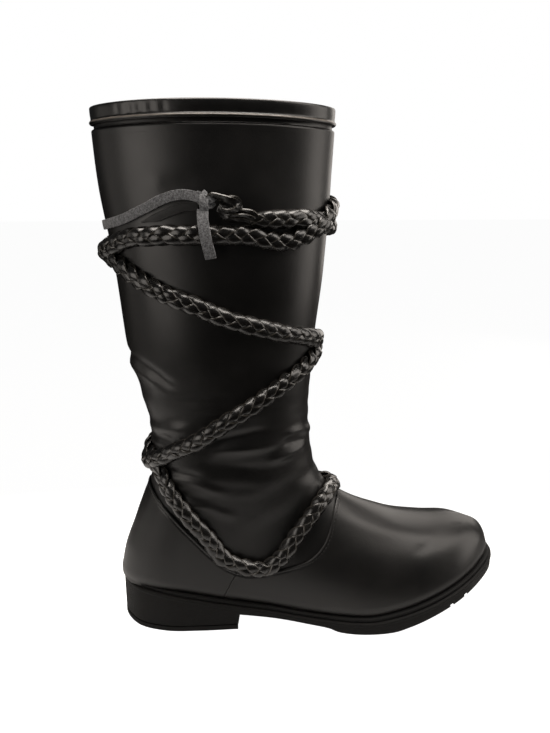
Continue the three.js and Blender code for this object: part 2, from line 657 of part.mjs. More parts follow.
/** The sole: heel, arch, ball and toe in one piece, with a platform for the insole and a tread. */
function makeOutsole() {
  const toe = alongX(1.04);
  const breast = alongX(HEEL_LENGTH / SOLE_LENGTH);
  const underside = new THREE.SplineCurve(UNDERSIDE.map((row) => new THREE.Vector2(alongX(row.x), row.z * row.of)));
  const heelFloor = LIFT_THICKNESS + GAP;
  const profile = (top) => sideSlab([
    new THREE.Vector2(alongX(-0.1), heelFloor),
    new THREE.Vector2(breast, heelFloor),
    new THREE.Vector2(breast + 1.2, BREAST_HEIGHT),
    ...underside.getSpacedPoints(24),
    new THREE.Vector2(toe, TOE_SPRING + 3),
    ...edgePoints(top).filter((p) => p.x <= toe).reverse().filter((p) => p.x >= alongX(-0.1)),
  ]);
  const body = planSlab(soleOutline(0)).intersect(profile(-WELT_THICKNESS - GAP));
  const platform = planSlab(soleOutline(WELT_RING_WIDTH + GAP, 36)).intersect(profile(-GAP));
  return body.add(platform).subtract(makeTread());
}

/** Grooves across the ball and the toe, which reach the sole's edge only near the tip. */
function makeTread() {
  const bars = [];
  const inside = planSlab(soleOutline(TREAD_MARGIN, 48));
  for (let x = alongX(0.5); x < alongX(0.97); x += TREAD_PITCH) {
    const open = x > alongX(0.82) && x < alongX(0.9);
    const under = Math.max(undersideAt(x), 0);
    const slope = Math.atan2(undersideAt(x + 2) - undersideAt(x - 2), 4);
    const bar = solid(new THREE.BoxGeometry(TREAD_WIDTH, 150, 2 * TREAD_DEPTH).rotateY(-slope).translate(x, 0, under));
    const keepPad = Math.abs(x - alongX(0.62)) < 4;
    if (!keepPad) bars.push(open ? bar : bar.intersect(inside));
  }
  return bars.reduce((sum, bar) => sum.add(bar));
}

function undersideAt(x) {
  return smoothTable(UNDERSIDE, (row) => alongX(row.x), (row) => row.z * row.of)(x);
}

/** The lift under the heel, which stands on the floor. */
function makeTopLift() {
  const breast = alongX(HEEL_LENGTH / SOLE_LENGTH);
  const slab = sideSlab([
    new THREE.Vector2(alongX(-0.1), 0), new THREE.Vector2(breast - 0.4, 0),
    new THREE.Vector2(breast, LIFT_THICKNESS), new THREE.Vector2(alongX(-0.1), LIFT_THICKNESS),
  ]);
  const inside = planSlab(soleOutline(TREAD_MARGIN, 48));
  const grooves = LIFT_GROOVES.map((x) => solid(new THREE.BoxGeometry(TREAD_WIDTH, 150, 3).translate(x, 0, 0)))
    .reduce((sum, bar) => sum.add(bar)).intersect(inside);
  return planSlab(soleOutline(0)).intersect(slab).subtract(grooves);
}

/** The welt, a strip round the top of the sole, set back a little from its edge. */
function makeWelt() {
  return planSlab(soleOutline(WELT_STEP)).subtract(planSlab(soleOutline(WELT_RING_WIDTH, 36)))
    .intersect(belowEdge(0)).subtract(belowEdge(-WELT_THICKNESS));
}

/** The insole, which lies inside the wall. */
function makeInsole() {
  return upperForm(-WALL - GAP, { to: 0.8 }).intersect(belowEdge(INSOLE_THICKNESS + GAP)).subtract(belowEdge(GAP));
}

/** The rows of one half of the cord, as turns round the boot from the instep on. */
function cordRows({ sign, ankleBack, shinFront, calfBack, last }) {
  const along = (rows, base, direction) => rows.map((row) => ({ ...row, turn: base + direction * row.turn }));
  return [
    ...along(CORD_LOW, 0, 1), ...ankleBack,
    ...along(CORD_RISING, 360, -1), ...shinFront,
    ...along(CORD_HIGH, 360, 1), ...calfBack,
    ...last,
  ].map((row) => ({ turn: sign * row.turn, z: row.z, lift: (row.lift ?? 0) * CROSSING_LIFT }));
}

/** The frame of the upper's surface at a turn in degrees: a place on it and an outward normal. */
function surfaceFrame(turn, at) {
  const angle = THREE.MathUtils.degToRad(turn);
  const step = 0.004;
  const on = place(at, angle, 0);
  const round = place(at, angle + 10 * step, 0).sub(place(at, angle - 10 * step, 0));
  const up = place(Math.min(at + step, 1), angle, 0).sub(place(at - step, angle, 0));
  return { on, normal: up.cross(round).normalize() };
}

const atOf = (row) => placeOfHeight(row.z, THREE.MathUtils.degToRad(row.turn));

/** The outline of a cord's or a tie's section, on a square of 1 by 1. */
function sectionOutline(sides) {
  const round = (v) => (sides === 4 ? Math.sign(v) : Math.sign(v) * Math.abs(v) ** 0.72);
  return Array.from({ length: sides }, (_, k) => {
    const angle = (2 * Math.PI * (k + 0.5)) / sides;
    return { across: round(Math.cos(angle)) / 2, out: round(Math.sin(angle)) / 2 };
  });
}

/** A strip that follows the upper: a section swept along rows of turn, z and rise. */
function stripOnUpper(rows, { width, thickness, spacing, sides, end = 1 }) {
  const [perDegree, perSection] = [0.75, 600];
  const curve = new THREE.CatmullRomCurve3(rows.map((row) => new THREE.Vector3(
    row.turn * perDegree, atOf(row) * perSection, row.rise)), false, 'centripetal');
  const count = Math.max(3, Math.round(curve.getLength() / spacing));
  const spine = curve.getSpacedPoints(count).map((p) => {
    const { on, normal } = surfaceFrame(p.x / perDegree, p.y / perSection);
    return { centre: on.addScaledVector(normal, p.z + thickness / 2), normal };
  });
  const outline = sectionOutline(sides);
  return solid(loftGeometry(spine.map(({ centre, normal }, i) => {
    const ahead = spine[Math.min(i + 1, count)].centre.clone().sub(spine[Math.max(i - 1, 0)].centre).normalize();
    const across = ahead.clone().cross(normal).normalize();
    const out = across.clone().cross(ahead).normalize();
    const size = i === 0 || i === count ? end : 1;
    return outline.map((corner) => centre.clone()
      .addScaledVector(across, corner.across * width * size)
      .addScaledVector(out, corner.out * thickness * size));
  })));
}

/** The plaited cord: two halves, joined at the instep and where they cross. */
function makeCord() {
  const overFoot = GAP + OVERLAY + GAP;
  const clearance = (z) => THREE.MathUtils.lerp(overFoot, PLAIT_CLEARANCE, smoothStep(114, 124, z));
  const half = (table) => stripOnUpper(
    cordRows(table).map((row) => ({ ...row, rise: clearance(row.z) + row.lift })),
    { width: PLAIT_WIDTH, thickness: PLAIT_THICKNESS, spacing: 8.6, sides: 6, end: 0.8 },
  );
  return half(OUTER_FIRST).add(half(INNER_FIRST));
}

const makeTie = (rows) => stripOnUpper(rows, { width: TIE_WIDTH, thickness: TIE_THICKNESS, spacing: 6, sides: 4 });

/** Turns and moves a geometry so that its x runs round the boot, its y up it and its z outwards. */
function setOnUpper(geometry, { turn, z, rise, thickness }) {
  const { on, normal } = surfaceFrame(turn, atOf({ turn, z }));
  const up = new THREE.Vector3(0, 0, 1).addScaledVector(normal, -normal.z).normalize();
  const round = up.clone().cross(normal);
  return geometry.applyMatrix4(new THREE.Matrix4().makeBasis(round, up, normal)
    .setPosition(on.addScaledVector(normal, rise + thickness / 2)));
}

/** The small hard knot in the suede tie. */
function makeSuedeKnot() {
  const { length, width, thickness } = SUEDE_KNOT;
  return solid(setOnUpper(new THREE.SphereGeometry(0.5, 12, 8).scale(length, width, thickness), SUEDE_KNOT));
}

/** The knot in the smooth strips: an open loop, a strip from the plait and one to the suede knot. */
function makeSmoothKnot() {
  const { length, width, thickness } = SMOOTH_KNOT;
  const tube = thickness / 2;
  const ring = new THREE.TorusGeometry(1, 0.42, 6, 14).scale(length / 2.84, width / 2.84, tube / 0.42);
  return solid(setOnUpper(ring, SMOOTH_KNOT))
    .add(stripOnUpper(LOOSE_STRIPS, { width: 5, thickness: 3, spacing: 4, sides: 4 }))
    .add(stripOnUpper(BRIDGE_STRIP, { width: 4.4, thickness: 1.8, spacing: 4, sides: 4 }));
}

const group = new THREE.Group();

function add(name, geometry, material) {
  const mesh = new THREE.Mesh(geometry, material);
  mesh.name = name;
  group.add(mesh);
}

const leather = new THREE.MeshStandardMaterial({ color: 0x1d1c1b, roughness: 0.42, metalness: 0 });
const cordLeather = new THREE.MeshStandardMaterial({ color: 0x24211e, roughness: 0.4, metalness: 0 });
const suede = new THREE.MeshStandardMaterial({ color: 0x55555a, roughness: 0.95, metalness: 0 });
const rubber = new THREE.MeshStandardMaterial({ color: 0x191919, roughness: 0.6, metalness: 0 });
const edgeRubber = new THREE.MeshStandardMaterial({ color: 0x0c0c0c, roughness: 0.7, metalness: 0 });
const lining = new THREE.MeshStandardMaterial({ color: 0x2a2826, roughness: 0.8, metalness: 0 });

const { vamp, counter } = makeGalosh();
add('outsole', geometryOf(makeOutsole()), rubber);
add('top_lift', geometryOf(makeTopLift()), rubber);
add('welt', geometryOf(makeWelt()), edgeRubber);
add('insole', geometryOf(makeInsole()), lining);
add('upper', geometryOf(makeUpper()), leather);
add('vamp', geometryOf(vamp), leather);
add('counter', geometryOf(counter), leather);
add('top_band', geometryOf(makeBand()), leather);
add('plaited_cord', geometryOf(makeCord()), cordLeather);
add('smooth_knot', geometryOf(makeSmoothKnot()), cordLeather);
add('smooth_tie', geometryOf(makeTie(SMOOTH_TIE)), cordLeather);
add('suede_knot', geometryOf(makeSuedeKnot()), suede);
add('suede_tie', geometryOf(makeTie(SUEDE_TIE)), suede);
add('suede_tail', geometryOf(makeTie(SUEDE_TAIL)), suede);

export default group;
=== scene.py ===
import math

import bmesh
import bpy
import numpy as np
from mathutils import Matrix, Vector, noise


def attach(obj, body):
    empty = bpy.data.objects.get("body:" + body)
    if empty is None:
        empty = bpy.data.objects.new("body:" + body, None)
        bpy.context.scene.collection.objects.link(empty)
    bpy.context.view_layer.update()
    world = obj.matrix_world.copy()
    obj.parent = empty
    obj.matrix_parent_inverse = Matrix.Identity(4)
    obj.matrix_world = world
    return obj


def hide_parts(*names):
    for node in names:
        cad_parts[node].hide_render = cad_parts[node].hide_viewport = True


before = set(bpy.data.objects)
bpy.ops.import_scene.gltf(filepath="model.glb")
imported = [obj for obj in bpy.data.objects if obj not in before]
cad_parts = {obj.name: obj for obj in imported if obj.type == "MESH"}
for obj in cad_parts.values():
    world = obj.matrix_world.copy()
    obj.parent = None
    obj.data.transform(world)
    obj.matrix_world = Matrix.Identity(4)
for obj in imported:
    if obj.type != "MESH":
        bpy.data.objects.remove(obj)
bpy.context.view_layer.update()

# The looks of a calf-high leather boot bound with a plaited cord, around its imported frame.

MM = 0.001

# Camera, world and light

CAMERA_PLACE = Vector((0.0434, -0.4889, 0.3310))
CAMERA_LOOK = Vector((0.0758, 0.9628, -0.2595))
CAMERA_LENS = 33.38


def set_camera():
    """The photo's view: from the outer side, a little behind the middle and above."""
    data = bpy.data.cameras.new("camera")
    data.lens = CAMERA_LENS
    data.sensor_width = 36.0
    data.clip_start = 0.01
    camera = bpy.data.objects.new("camera", data)
    camera.location = CAMERA_PLACE
    camera.rotation_euler = CAMERA_LOOK.to_track_quat("-Z", "Y").to_euler()
    bpy.context.scene.collection.objects.link(camera)
    bpy.context.scene.camera = camera


def add_area_light(name, place, aim, size, power, colour=(1.0, 1.0, 1.0)):
    """A soft box of size (width, height) in metres that faces the point aim."""
    data = bpy.data.lights.new(name, "AREA")
    data.shape = "RECTANGLE"
    data.size, data.size_y = size
    data.energy = power
    data.color = colour
    light = bpy.data.objects.new(name, data)
    light.location = place
    light.rotation_euler = (Vector(aim) - Vector(place)).to_track_quat("-Z", "Y").to_euler()
    bpy.context.scene.collection.objects.link(light)


def set_world():
    """White behind the boot, and a dim grey surrounding for what its leather reflects."""
    world = bpy.data.worlds.new("studio")
    bpy.context.scene.world = world
    world.use_nodes = True
    nodes, links = world.node_tree.nodes, world.node_tree.links
    nodes.clear()
    seen = nodes.new("ShaderNodeBackground")
    seen.inputs["Color"].default_value = (1.0, 1.0, 1.0, 1.0)
    seen.inputs["Strength"].default_value = 1.0
    around = nodes.new("ShaderNodeBackground")
    around.inputs["Color"].default_value = (0.9, 0.95, 1.0, 1.0)
    around.inputs["Strength"].default_value = 0.035
    path = nodes.new("ShaderNodeLightPath")
    mix = nodes.new("ShaderNodeMixShader")
    out = nodes.new("ShaderNodeOutputWorld")
    links.new(path.outputs["Is Camera Ray"], mix.inputs["Fac"])
    links.new(around.outputs["Background"], mix.inputs[1])
    links.new(seen.outputs["Background"], mix.inputs[2])
    links.new(mix.outputs["Shader"], out.inputs["Surface"])


def set_studio():
    set_world()
    warm = (1.0, 0.93, 0.86)
    add_area_light("top box", (0.10, 0.10, 1.15), (0.12, 0.0, 0.06), (0.7, 0.9), 19.0, warm)
    add_area_light("left panel", (-0.54, -0.50, 0.33), (0.02, 0.0, 0.20), (0.50, 0.62), 1.9, warm)
    add_area_light("right panel", (0.88, -0.08, 0.33), (0.08, 0.0, 0.18), (0.46, 0.66), 2.3, warm)
    add_area_light("rear panel", (0.75, 0.75, 0.50), (0.08, 0.0, 0.18), (0.50, 0.9), 2.5, warm)
    add_area_light("toe panel", (0.66, -0.26, 0.80), (0.17, -0.02, 0.07), (0.44, 0.36), 2.0, warm)
    add_area_light("heel side panel", (-0.80, 0.02, 0.26), (0.0, 0.0, 0.20), (0.36, 0.50), 0.3, warm)
    bpy.context.scene.view_settings.view_transform = "Standard"


set_camera()
set_studio()

# The boot's sizes in millimetres, as in its solids

SOLE_LENGTH = 302.0
HEEL_BACK = 38.0
BALL_WIDTH = 104.0
HEEL_WIDTH = 74.0
HEEL_LENGTH = 89.0
BREAST_HEIGHT = 12.4
LIFT_THICKNESS = 4.2
WELT_THICKNESS = 2.8
TREAD_DEPTH = 2.6
TREAD_WIDTH = 3.0
TREAD_PITCH = 13.0
TREAD_MARGIN = 6.0
LIFT_GROOVES = (-24.0, -12.0, 14.0, 26.0, 38.0)
FOOT_HEIGHT = 126.0
COLLAR_HEIGHT = 382.0
HEEL_GIRTH_WIDTH = 67.0
ANKLE_WIDTH = 74.0
CALF_WIDTH = 92.0
COLLAR_WIDTH = 90.0
WALL = 2.2
OVERLAY = 1.4
UPPER_INSET = 4.2
TUCK = 2.4
TUCK_HEIGHT = 9.0
BAND_HEIGHT = 13.2
BAND_RECESS = 1.9
COLLAR_DIP = 2.4
SEAM_GAP = 0.5
GAP = 0.3
PLAIT_THICKNESS = 6.6
PLAIT_CLEARANCE = 1.15
CROSSING_LIFT = 2.0
TIE_WIDTH = 6.4
TIE_THICKNESS = 1.6
SHAFT_HEIGHT = COLLAR_HEIGHT - FOOT_HEIGHT
BAND_STEP = COLLAR_HEIGHT - BAND_HEIGHT - GAP

# The sole's edge seen from above: share of the length, share of the half width.
HEEL_EDGE = ((0.038, -0.62), (0.0, 0.0), (0.038, 0.64), (0.11, 0.92), (0.2, 0.99))
INNER_EDGE = ((0.3, 0.66), (0.4, 0.625), (0.5, 0.72), (0.6, 0.93), (0.69, 1.02), (0.79, 1.02),
              (0.88, 0.945), (0.945, 0.77))
TIP_EDGE = ((0.984, 0.53), (0.998, 0.22), (0.984, -0.09))
OUTER_EDGE = ((0.94, -0.4), (0.875, -0.68), (0.79, -0.88), (0.69, -0.965), (0.6, -0.96),
              (0.5, -0.83), (0.4, -0.72), (0.3, -0.69))
OUTER_HEEL_EDGE = ((0.2, -0.965), (0.11, -0.9))

# Seen from the side: share of the length, height.
EDGE_LINE = ((0.0, 38.0), (0.07, 36.29), (0.17, 30.78), (0.27, 24.13), (0.36, 19.0), (0.45, 14.364),
             (0.54, 12.6), (0.62, 12.6), (0.7, 16.002), (0.78, 22.0), (0.87, 30.0), (0.94, 36.0),
             (1.0, 40.0))
UNDERSIDE = ((0.37, 9.424), (0.46, 5.456), (0.52, 2.976), (0.56, 0.0), (0.675, 0.0), (0.73, 3.51),
             (0.79, 9.18), (0.86, 15.66), (0.93, 22.14), (1.0, 27.0))

# Sections of the upper: front x and z, back x and z, crown, fullness.
FOOT_SECTIONS = (
    (0.981, 0.29, 0.981, 0.2, 0.95, 2.0), (0.973, 0.395, 0.966, 0.19, 0.95, 2.1),
    (0.944, 0.488, 0.928, 0.15, 0.94, 2.2), (0.886, 0.533, 0.85, 0.09, 0.92, 2.3),
    (0.806, 0.543, 0.75, 0.0, 0.88, 2.3), (0.724, 0.578, 0.62, -0.05, 0.84, 2.2),
    (0.654, 0.642, 0.455, -0.03, 0.78, 2.1), (0.601, 0.702, 0.27, 0.05, 0.7, 2.0),
    (0.561, 0.762, 0.1, 0.12, 0.6, 2.0), (0.53, 0.835, 0.008, 0.22, 0.5, 2.0),
    (0.5075, 0.918, 0.0105, 0.43, 0.43, 2.0),
)
SHAFT_SECTIONS = (
    (0.491, 0.012, 0.047, -0.16, 0.43, 2.0), (0.484, 0.085, 0.0865, -0.022, 0.45, 2.0),
    (0.481, 0.178, 0.084, 0.15, 0.5, 2.05), (0.49, 0.345, 0.045, 0.335, 0.52, 2.1),
    (0.509, 0.555, 0.0255, 0.56, 0.52, 2.15), (0.5245, 0.8, -0.003, 0.8, 0.52, 2.2),
    (0.534, 1.0, -0.0135, 1.0, 0.52, 2.2),
)
# Share of the shaft's height, half width, and how far the back rounds off as a share of it.
SHAFT_WIDTHS = (
    (-0.7, HEEL_GIRTH_WIDTH / 2, 1.25), (-0.25, HEEL_GIRTH_WIDTH / 2, 1.2), (0.05, ANKLE_WIDTH / 2, 1.25),
    (0.25, (ANKLE_WIDTH + CALF_WIDTH) / 4, 1.4), (0.6, CALF_WIDTH / 2, 1.55),
    (1.0, COLLAR_WIDTH / 2, 1.7), (1.2, COLLAR_WIDTH / 2, 1.7),
)
GALOSH_LINE = (
    (0.0464, 0.96), (0.076, 0.9), (0.103, 0.837), (0.142, 0.75), (0.185, 0.631), (0.225, 0.52),
    (0.265, 0.425), (0.305, 0.373), (0.344, 0.36), (0.384, 0.373), (0.427, 0.4), (0.4636, 0.4325),
    (0.49, 0.476), (0.5116, 0.532), (0.5265, 0.595), (0.537, 0.659), (0.548, 0.722),
    (0.563, 0.786), (0.586, 0.865),
)
SIDE_SEAM = ((0.325, 0.5), (0.295, 0.39), (0.257, 0.208), (0.235, 0.08))

# The plaited cord's passes: turn in degrees from the front, height, and 1 where it rides over.
CORD_LOW = (
    (-8, 101.2, 0), (8, 101.3, 0), (18, 100.6, 0), (28, 97.4, 0), (36, 93.3, 0), (52, 82.3, 0),
    (60, 76, 0), (72, 65.8, 0), (80, 59.2, 0), (86, 54.7, 0), (92, 50.3, 0), (94, 50.8, 0),
    (94, 53.7, 0), (94, 58.6, 0), (94, 65.7, 0), (96, 74, 0), (102, 84, 0), (110, 92.4, 0),
    (118, 101, 0), (128, 109, 0), (138, 117.5, 0), (146, 125, 0),
)
CORD_RISING = (
    (138, 143.5, 0), (120, 152.1, 0), (106, 161.1, 0), (92, 171, 0), (78, 179.7, 0),
    (64, 188.8, 0), (52, 195.5, 0), (40, 201.2, 0), (28, 207, 0),
)
CORD_HIGH = (
    (38, 229, 0), (56, 233.3, 0), (74, 239.7, 0), (90, 246.1, 0), (104, 254, 0), (120, 261, 0),
    (138, 271, 0),
)
OUTER_FIRST = {
    "sign": 1,
    "ankle_back": ((158, 133, 0), (172, 137.5, 0), (190, 139.5, 0), (206, 141, 0)),
    "shin_front": ((344, 212.5, 1), (352, 217.5, 1), (364, 222, 0), (380, 224.3, 0)),
    "calf_back": ((512, 279, 0), (528, 284, 0), (542, 288, 0), (560, 291.5, 0)),
    "last": ((590, 294, 0), (630, 296, 0), (670, 298, 0), (700, 300, 0), (722, 302, 0), (734, 303.5, 0),
             (746, 305, 0), (756, 307.6, 0), (766, 309.2, 0), (778, 309, 0), (795, 308.6, 0)),
}
INNER_FIRST = {
    "sign": -1,
    "ankle_back": ((158, 130, 0), (172, 131.5, 0.4), (186, 132, 1), (202, 134.5, 1)),
    "shin_front": ((344, 211.9, 0), (358, 214, 0), (370, 217.5, 0), (382, 223, 0)),
    "calf_back": ((512, 277.5, 0), (528, 281, 0), (544, 285.5, 1), (558, 289.5, 1)),
    "last": ((570, 293, 0), (582, 296.9, 0), (604, 299.2, 0), (620, 299.4, 0), (636, 299.4, 0),
             (646, 298.4, 0), (656, 295.3, 0), (667, 294.8, 0), (676, 298, 0.4), (684, 302.2, 1),
             (693, 307.5, 1), (706, 313.8, 0.3), (722, 316.5, 0), (744, 317.5, 0), (768, 316, 0),
             (795, 314, 0)),
}
# Ties: turn, height, and the millimetres between the tie and the leather.
SUEDE_TIE = (
    (99.5, 323.6, 2.4), (106, 324.6, 1.8), (114, 322, 2.2), (124, 316.4, 1.8), (138, 310, 1.1),
    (150, 306.8, 0.5), (168, 304.5, 0.4), (190, 303.5, 0.4), (215, 304.5, 0.6), (240, 308, 0.6),
    (262, 312, 1.4), (284.4, 314, 3.0),
)
SMOOTH_TIE = ((98.5, 316.9, 1.0), (104, 317.2, 0.7), (110, 314.9, 0.7), (118, 311, 0.6), (128, 307.3, 0.5))
SUEDE_TAIL = ((96.2, 315.4, 4.4), (96.4, 310, 6.8), (96, 303, 8.4), (95.4, 296, 8.4), (94.4, 289, 7.4),
              (94, 285.2, 6.4))
SUEDE_KNOT = {"turn": 94.4, "z": 320.6, "rise": 0.6, "length": 10.5, "width": 8.6, "thickness": 7.2}
SMOOTH_KNOT = {"turn": 83.0, "z": 318.6, "rise": 0.8, "length": 16.5, "width": 11.0, "thickness": 7.4}


# Curves through the tables

def along_x(share):
    return -HEEL_BACK + np.asarray(share) * SOLE_LENGTH


def smooth_step(low, high, x):
    q = np.clip((np.asarray(x) - low) / (high - low), 0.0, 1.0)
    return q * q * (3.0 - 2.0 * q)


def smooth_table(places, values):
    """A smooth curve through the rows of a table, which never overshoots them."""
    xs, ys = np.array(places, float), np.array(values, float)
    slopes = np.diff(ys) / np.diff(xs)
    before, after = slopes[:-1], slopes[1:]
    product, total = before * after, before + after
    inner = np.where(product > 0, 2.0 * product / np.where(total == 0, 1.0, total), 0.0)
    tangents = np.concatenate([slopes[:1], inner, slopes[-1:]])

    def read(x):
        x = np.clip(x, xs[0], xs[-1])
        i = np.clip(np.searchsorted(xs, x, side="right") - 1, 0, len(xs) - 2)
        span = xs[i + 1] - xs[i]
        t = (x - xs[i]) / span
        t2, t3 = t * t, t * t * t
        return ((2 * t3 - 3 * t2 + 1) * ys[i] + (t3 - 2 * t2 + t) * span * tangents[i]
                + (3 * t2 - 2 * t3) * ys[i + 1] + (t3 - t2) * span * tangents[i + 1])
    return read


def even_spline(points):
    """A uniform Catmull-Rom curve, read by a share from 0 to 1."""
    p = np.array(points, float)
    last = len(p) - 1

    def read(t):
        s = last * np.clip(t, 0.0, 1.0)
        i = np.minimum(s.astype(int), last)
        w = (s - i)[..., None]
        p0, p1 = p[np.maximum(i - 1, 0)], p[i]
        p2, p3 = p[np.minimum(i + 1, last)], p[np.minimum(i + 2, last)]
        v0, v1 = (p2 - p0) / 2, (p3 - p1) / 2
        return (2 * p1 - 2 * p2 + v0 + v1) * w ** 3 + (-3 * p1 + 3 * p2 - 2 * v0 - v1) * w ** 2 + v0 * w + p1
    return read


def rope_curve(points, closed=False, per_span=40):
    """Points of a centripetal Catmull-Rom curve through the given ones."""
    p = np.array(points, float)
    count = len(p)
    ends = p if closed else np.vstack([2 * p[0] - p[1], p, 2 * p[-1] - p[-2]])

    def get(i):
        return ends[i % count] if closed else ends[i + 1]

    w = np.linspace(0.0, 1.0, per_span, endpoint=False)[:, None]
    spans = count if closed else count - 1
    out = []
    for i in range(spans):
        p0, p1, p2, p3 = (get(i + k) for k in (-1, 0, 1, 2))
        d0, d1, d2 = (max(np.linalg.norm(b - a), 1e-6) ** 0.5 for a, b in ((p0, p1), (p1, p2), (p2, p3)))
        t1 = ((p1 - p0) / d0 - (p2 - p0) / (d0 + d1) + (p2 - p1) / d1) * d1
        t2 = ((p2 - p1) / d1 - (p3 - p1) / (d1 + d2) + (p3 - p2) / d2) * d1
        squared = -3 * p1 + 3 * p2 - 2 * t1 - t2
        cubed = 2 * p1 - 2 * p2 + t1 + t2
        out.append(p1 + t1 * w + squared * w ** 2 + cubed * w ** 3)
    return np.vstack(out + [get(spans)[None]])


def lengths_along(points):
    steps = np.linalg.norm(np.diff(points, axis=0), axis=1)
    return np.concatenate([[0.0], np.cumsum(steps)])


def spaced(points, count):
    """The same line in count equal steps."""
    lengths = lengths_along(points)
    wanted = np.linspace(0.0, lengths[-1], count + 1)
    return np.stack([np.interp(wanted, lengths, points[:, k]) for k in range(points.shape[1])], axis=1)


def unit(v):
    return v / np.maximum(np.linalg.norm(v, axis=-1, keepdims=True), 1e-9)


# The surface of the upper

def table_of(rows, column=1):
    return smooth_table([row[0] for row in rows], [row[column] for row in rows])


edge_top = smooth_table([along_x(row[0]) for row in EDGE_LINE], [row[1] for row in EDGE_LINE])
shaft_half_width = table_of(SHAFT_WIDTHS)
back_rounding = smooth_table([row[0] for row in SHAFT_WIDTHS], [row[1] * row[2] for row in SHAFT_WIDTHS])


def sole_outline():
    """The sole's edge seen from above, as a fine closed line that starts behind the heel."""
    def placed(rows, width):
        return [(along_x(x), y * width / 2) for x, y in rows]
    rows = (placed(HEEL_EDGE, HEEL_WIDTH) + placed(INNER_EDGE, BALL_WIDTH) + placed(TIP_EDGE, BALL_WIDTH)
            + placed(OUTER_EDGE, BALL_WIDTH) + placed(OUTER_HEEL_EDGE, HEEL_WIDTH))
    return rope_curve(rows, closed=True, per_span=60)


OUTLINE = sole_outline()


def outline_ring(inset, count):
    """count points round the sole's edge, moved inwards by inset."""
    ring = spaced(OUTLINE, count)[:-1]
    ahead = unit(np.roll(ring, -1, axis=0) - np.roll(ring, 1, axis=0))
    return ring + inset * np.stack([ahead[:, 1], -ahead[:, 0]], axis=1)


def plan_reach():
    """How far the upper reaches to each side at a length x."""
    ring = outline_ring(UPPER_INSET, 160)
    tip = ring[np.argmax(ring[:, 0])]

    def side(sign):
        keep = (ring[:, 1] - tip[1] * smooth_step(along_x(0.4), tip[0], ring[:, 0])) * sign >= 0
        points = ring[keep]
        points = points[np.argsort(points[:, 0])]
        return smooth_table(points[:, 0], points[:, 1])
    return side(-1), side(1), tip


OUTER_PLAN, INNER_PLAN, TIP = plan_reach()
HEEL_WIDEST = along_x(0.15)


def plan_of(side, x):
    x = np.maximum(x, HEEL_WIDEST)
    return np.where(side < 0, OUTER_PLAN(x), INNER_PLAN(x))


def middle_line(x):
    return TIP[1] * smooth_step(along_x(0.35), along_x(1.0), x)


SECTION_ROWS = ([(*row, 0.0, FOOT_HEIGHT) for row in FOOT_SECTIONS]
                + [(*row, FOOT_HEIGHT, SHAFT_HEIGHT) for row in SHAFT_SECTIONS])
SHARES = [i / (len(SECTION_ROWS) - 1) for i in range(len(SECTION_ROWS))]
front_curve = even_spline([(along_x(r[0]), r[6] + r[1] * r[7]) for r in SECTION_ROWS])
back_curve = even_spline([(along_x(r[2]), r[6] + r[3] * r[7]) for r in SECTION_ROWS])
crown_of = smooth_table(SHARES, [r[4] for r in SECTION_ROWS])
full_of = smooth_table(SHARES, [r[5] for r in SECTION_ROWS])


def make_back_line():
    """The line of the heel and the calf: how far back the upper reaches at a height."""
    count = len(SECTION_ROWS) - 1
    first = len(FOOT_SECTIONS) - 2
    points = back_curve(np.arange(first * 4, count * 4 + 1) / 4 / count)
    rising = [points[0]]
    for p in points[1:]:
        if p[1] > rising[-1][1]:
            rising.append(p)
    rising = np.array(rising)
    return smooth_table(rising[:, 1], rising[:, 0])


back_line = make_back_line()


def round_end(distance, length, power):
    q = np.clip(distance / length, 0.0, 1.0)
    return (1.0 - (1.0 - q) ** power) ** (1.0 / power)


def side_reach(side, x, z, to_front, crown_length, full):
    """How far the upper reaches from its middle line, before any offset."""
    share = (z - FOOT_HEIGHT) / SHAFT_HEIGHT
    into_shaft = smooth_step(FOOT_HEIGHT * 0.42, FOOT_HEIGHT * 1.02, z) * (
        1.0 - smooth_step(along_x(0.56), along_x(0.72), x))
    foot = np.abs(plan_of(side, x) - middle_line(x))
    widest = foot + (shaft_half_width(share) - foot) * into_shaft
    back = round_end(x - back_line(z), back_rounding(share), 2.0)
    tuck = TUCK * (1.0 - np.clip((z - edge_top(x)) / TUCK_HEIGHT, 0.0, 1.0)) ** 2
    return np.maximum(widest * back * round_end(to_front, crown_length, full) - tuck * back, 0.0)


def outwards(curve, t, sign):
    step = 1e-4
    tangent = unit(curve(t + step) - curve(t - step))
    return sign * np.stack([tangent[..., 1], -tangent[..., 0]], axis=-1)


def section_ends(at, offset):
    """The front and the back of a section in the side view, before and after an offset."""
    front, back = front_curve(at), back_curve(at)
    grow = (offset - BAND_RECESS * smooth_step(BAND_STEP - 1.5, BAND_STEP, front[..., 1]))[..., None]
    return (front, back, front + outwards(front_curve, at, 1.0) * grow,
            back + outwards(back_curve, at, -1.0) * grow, grow)


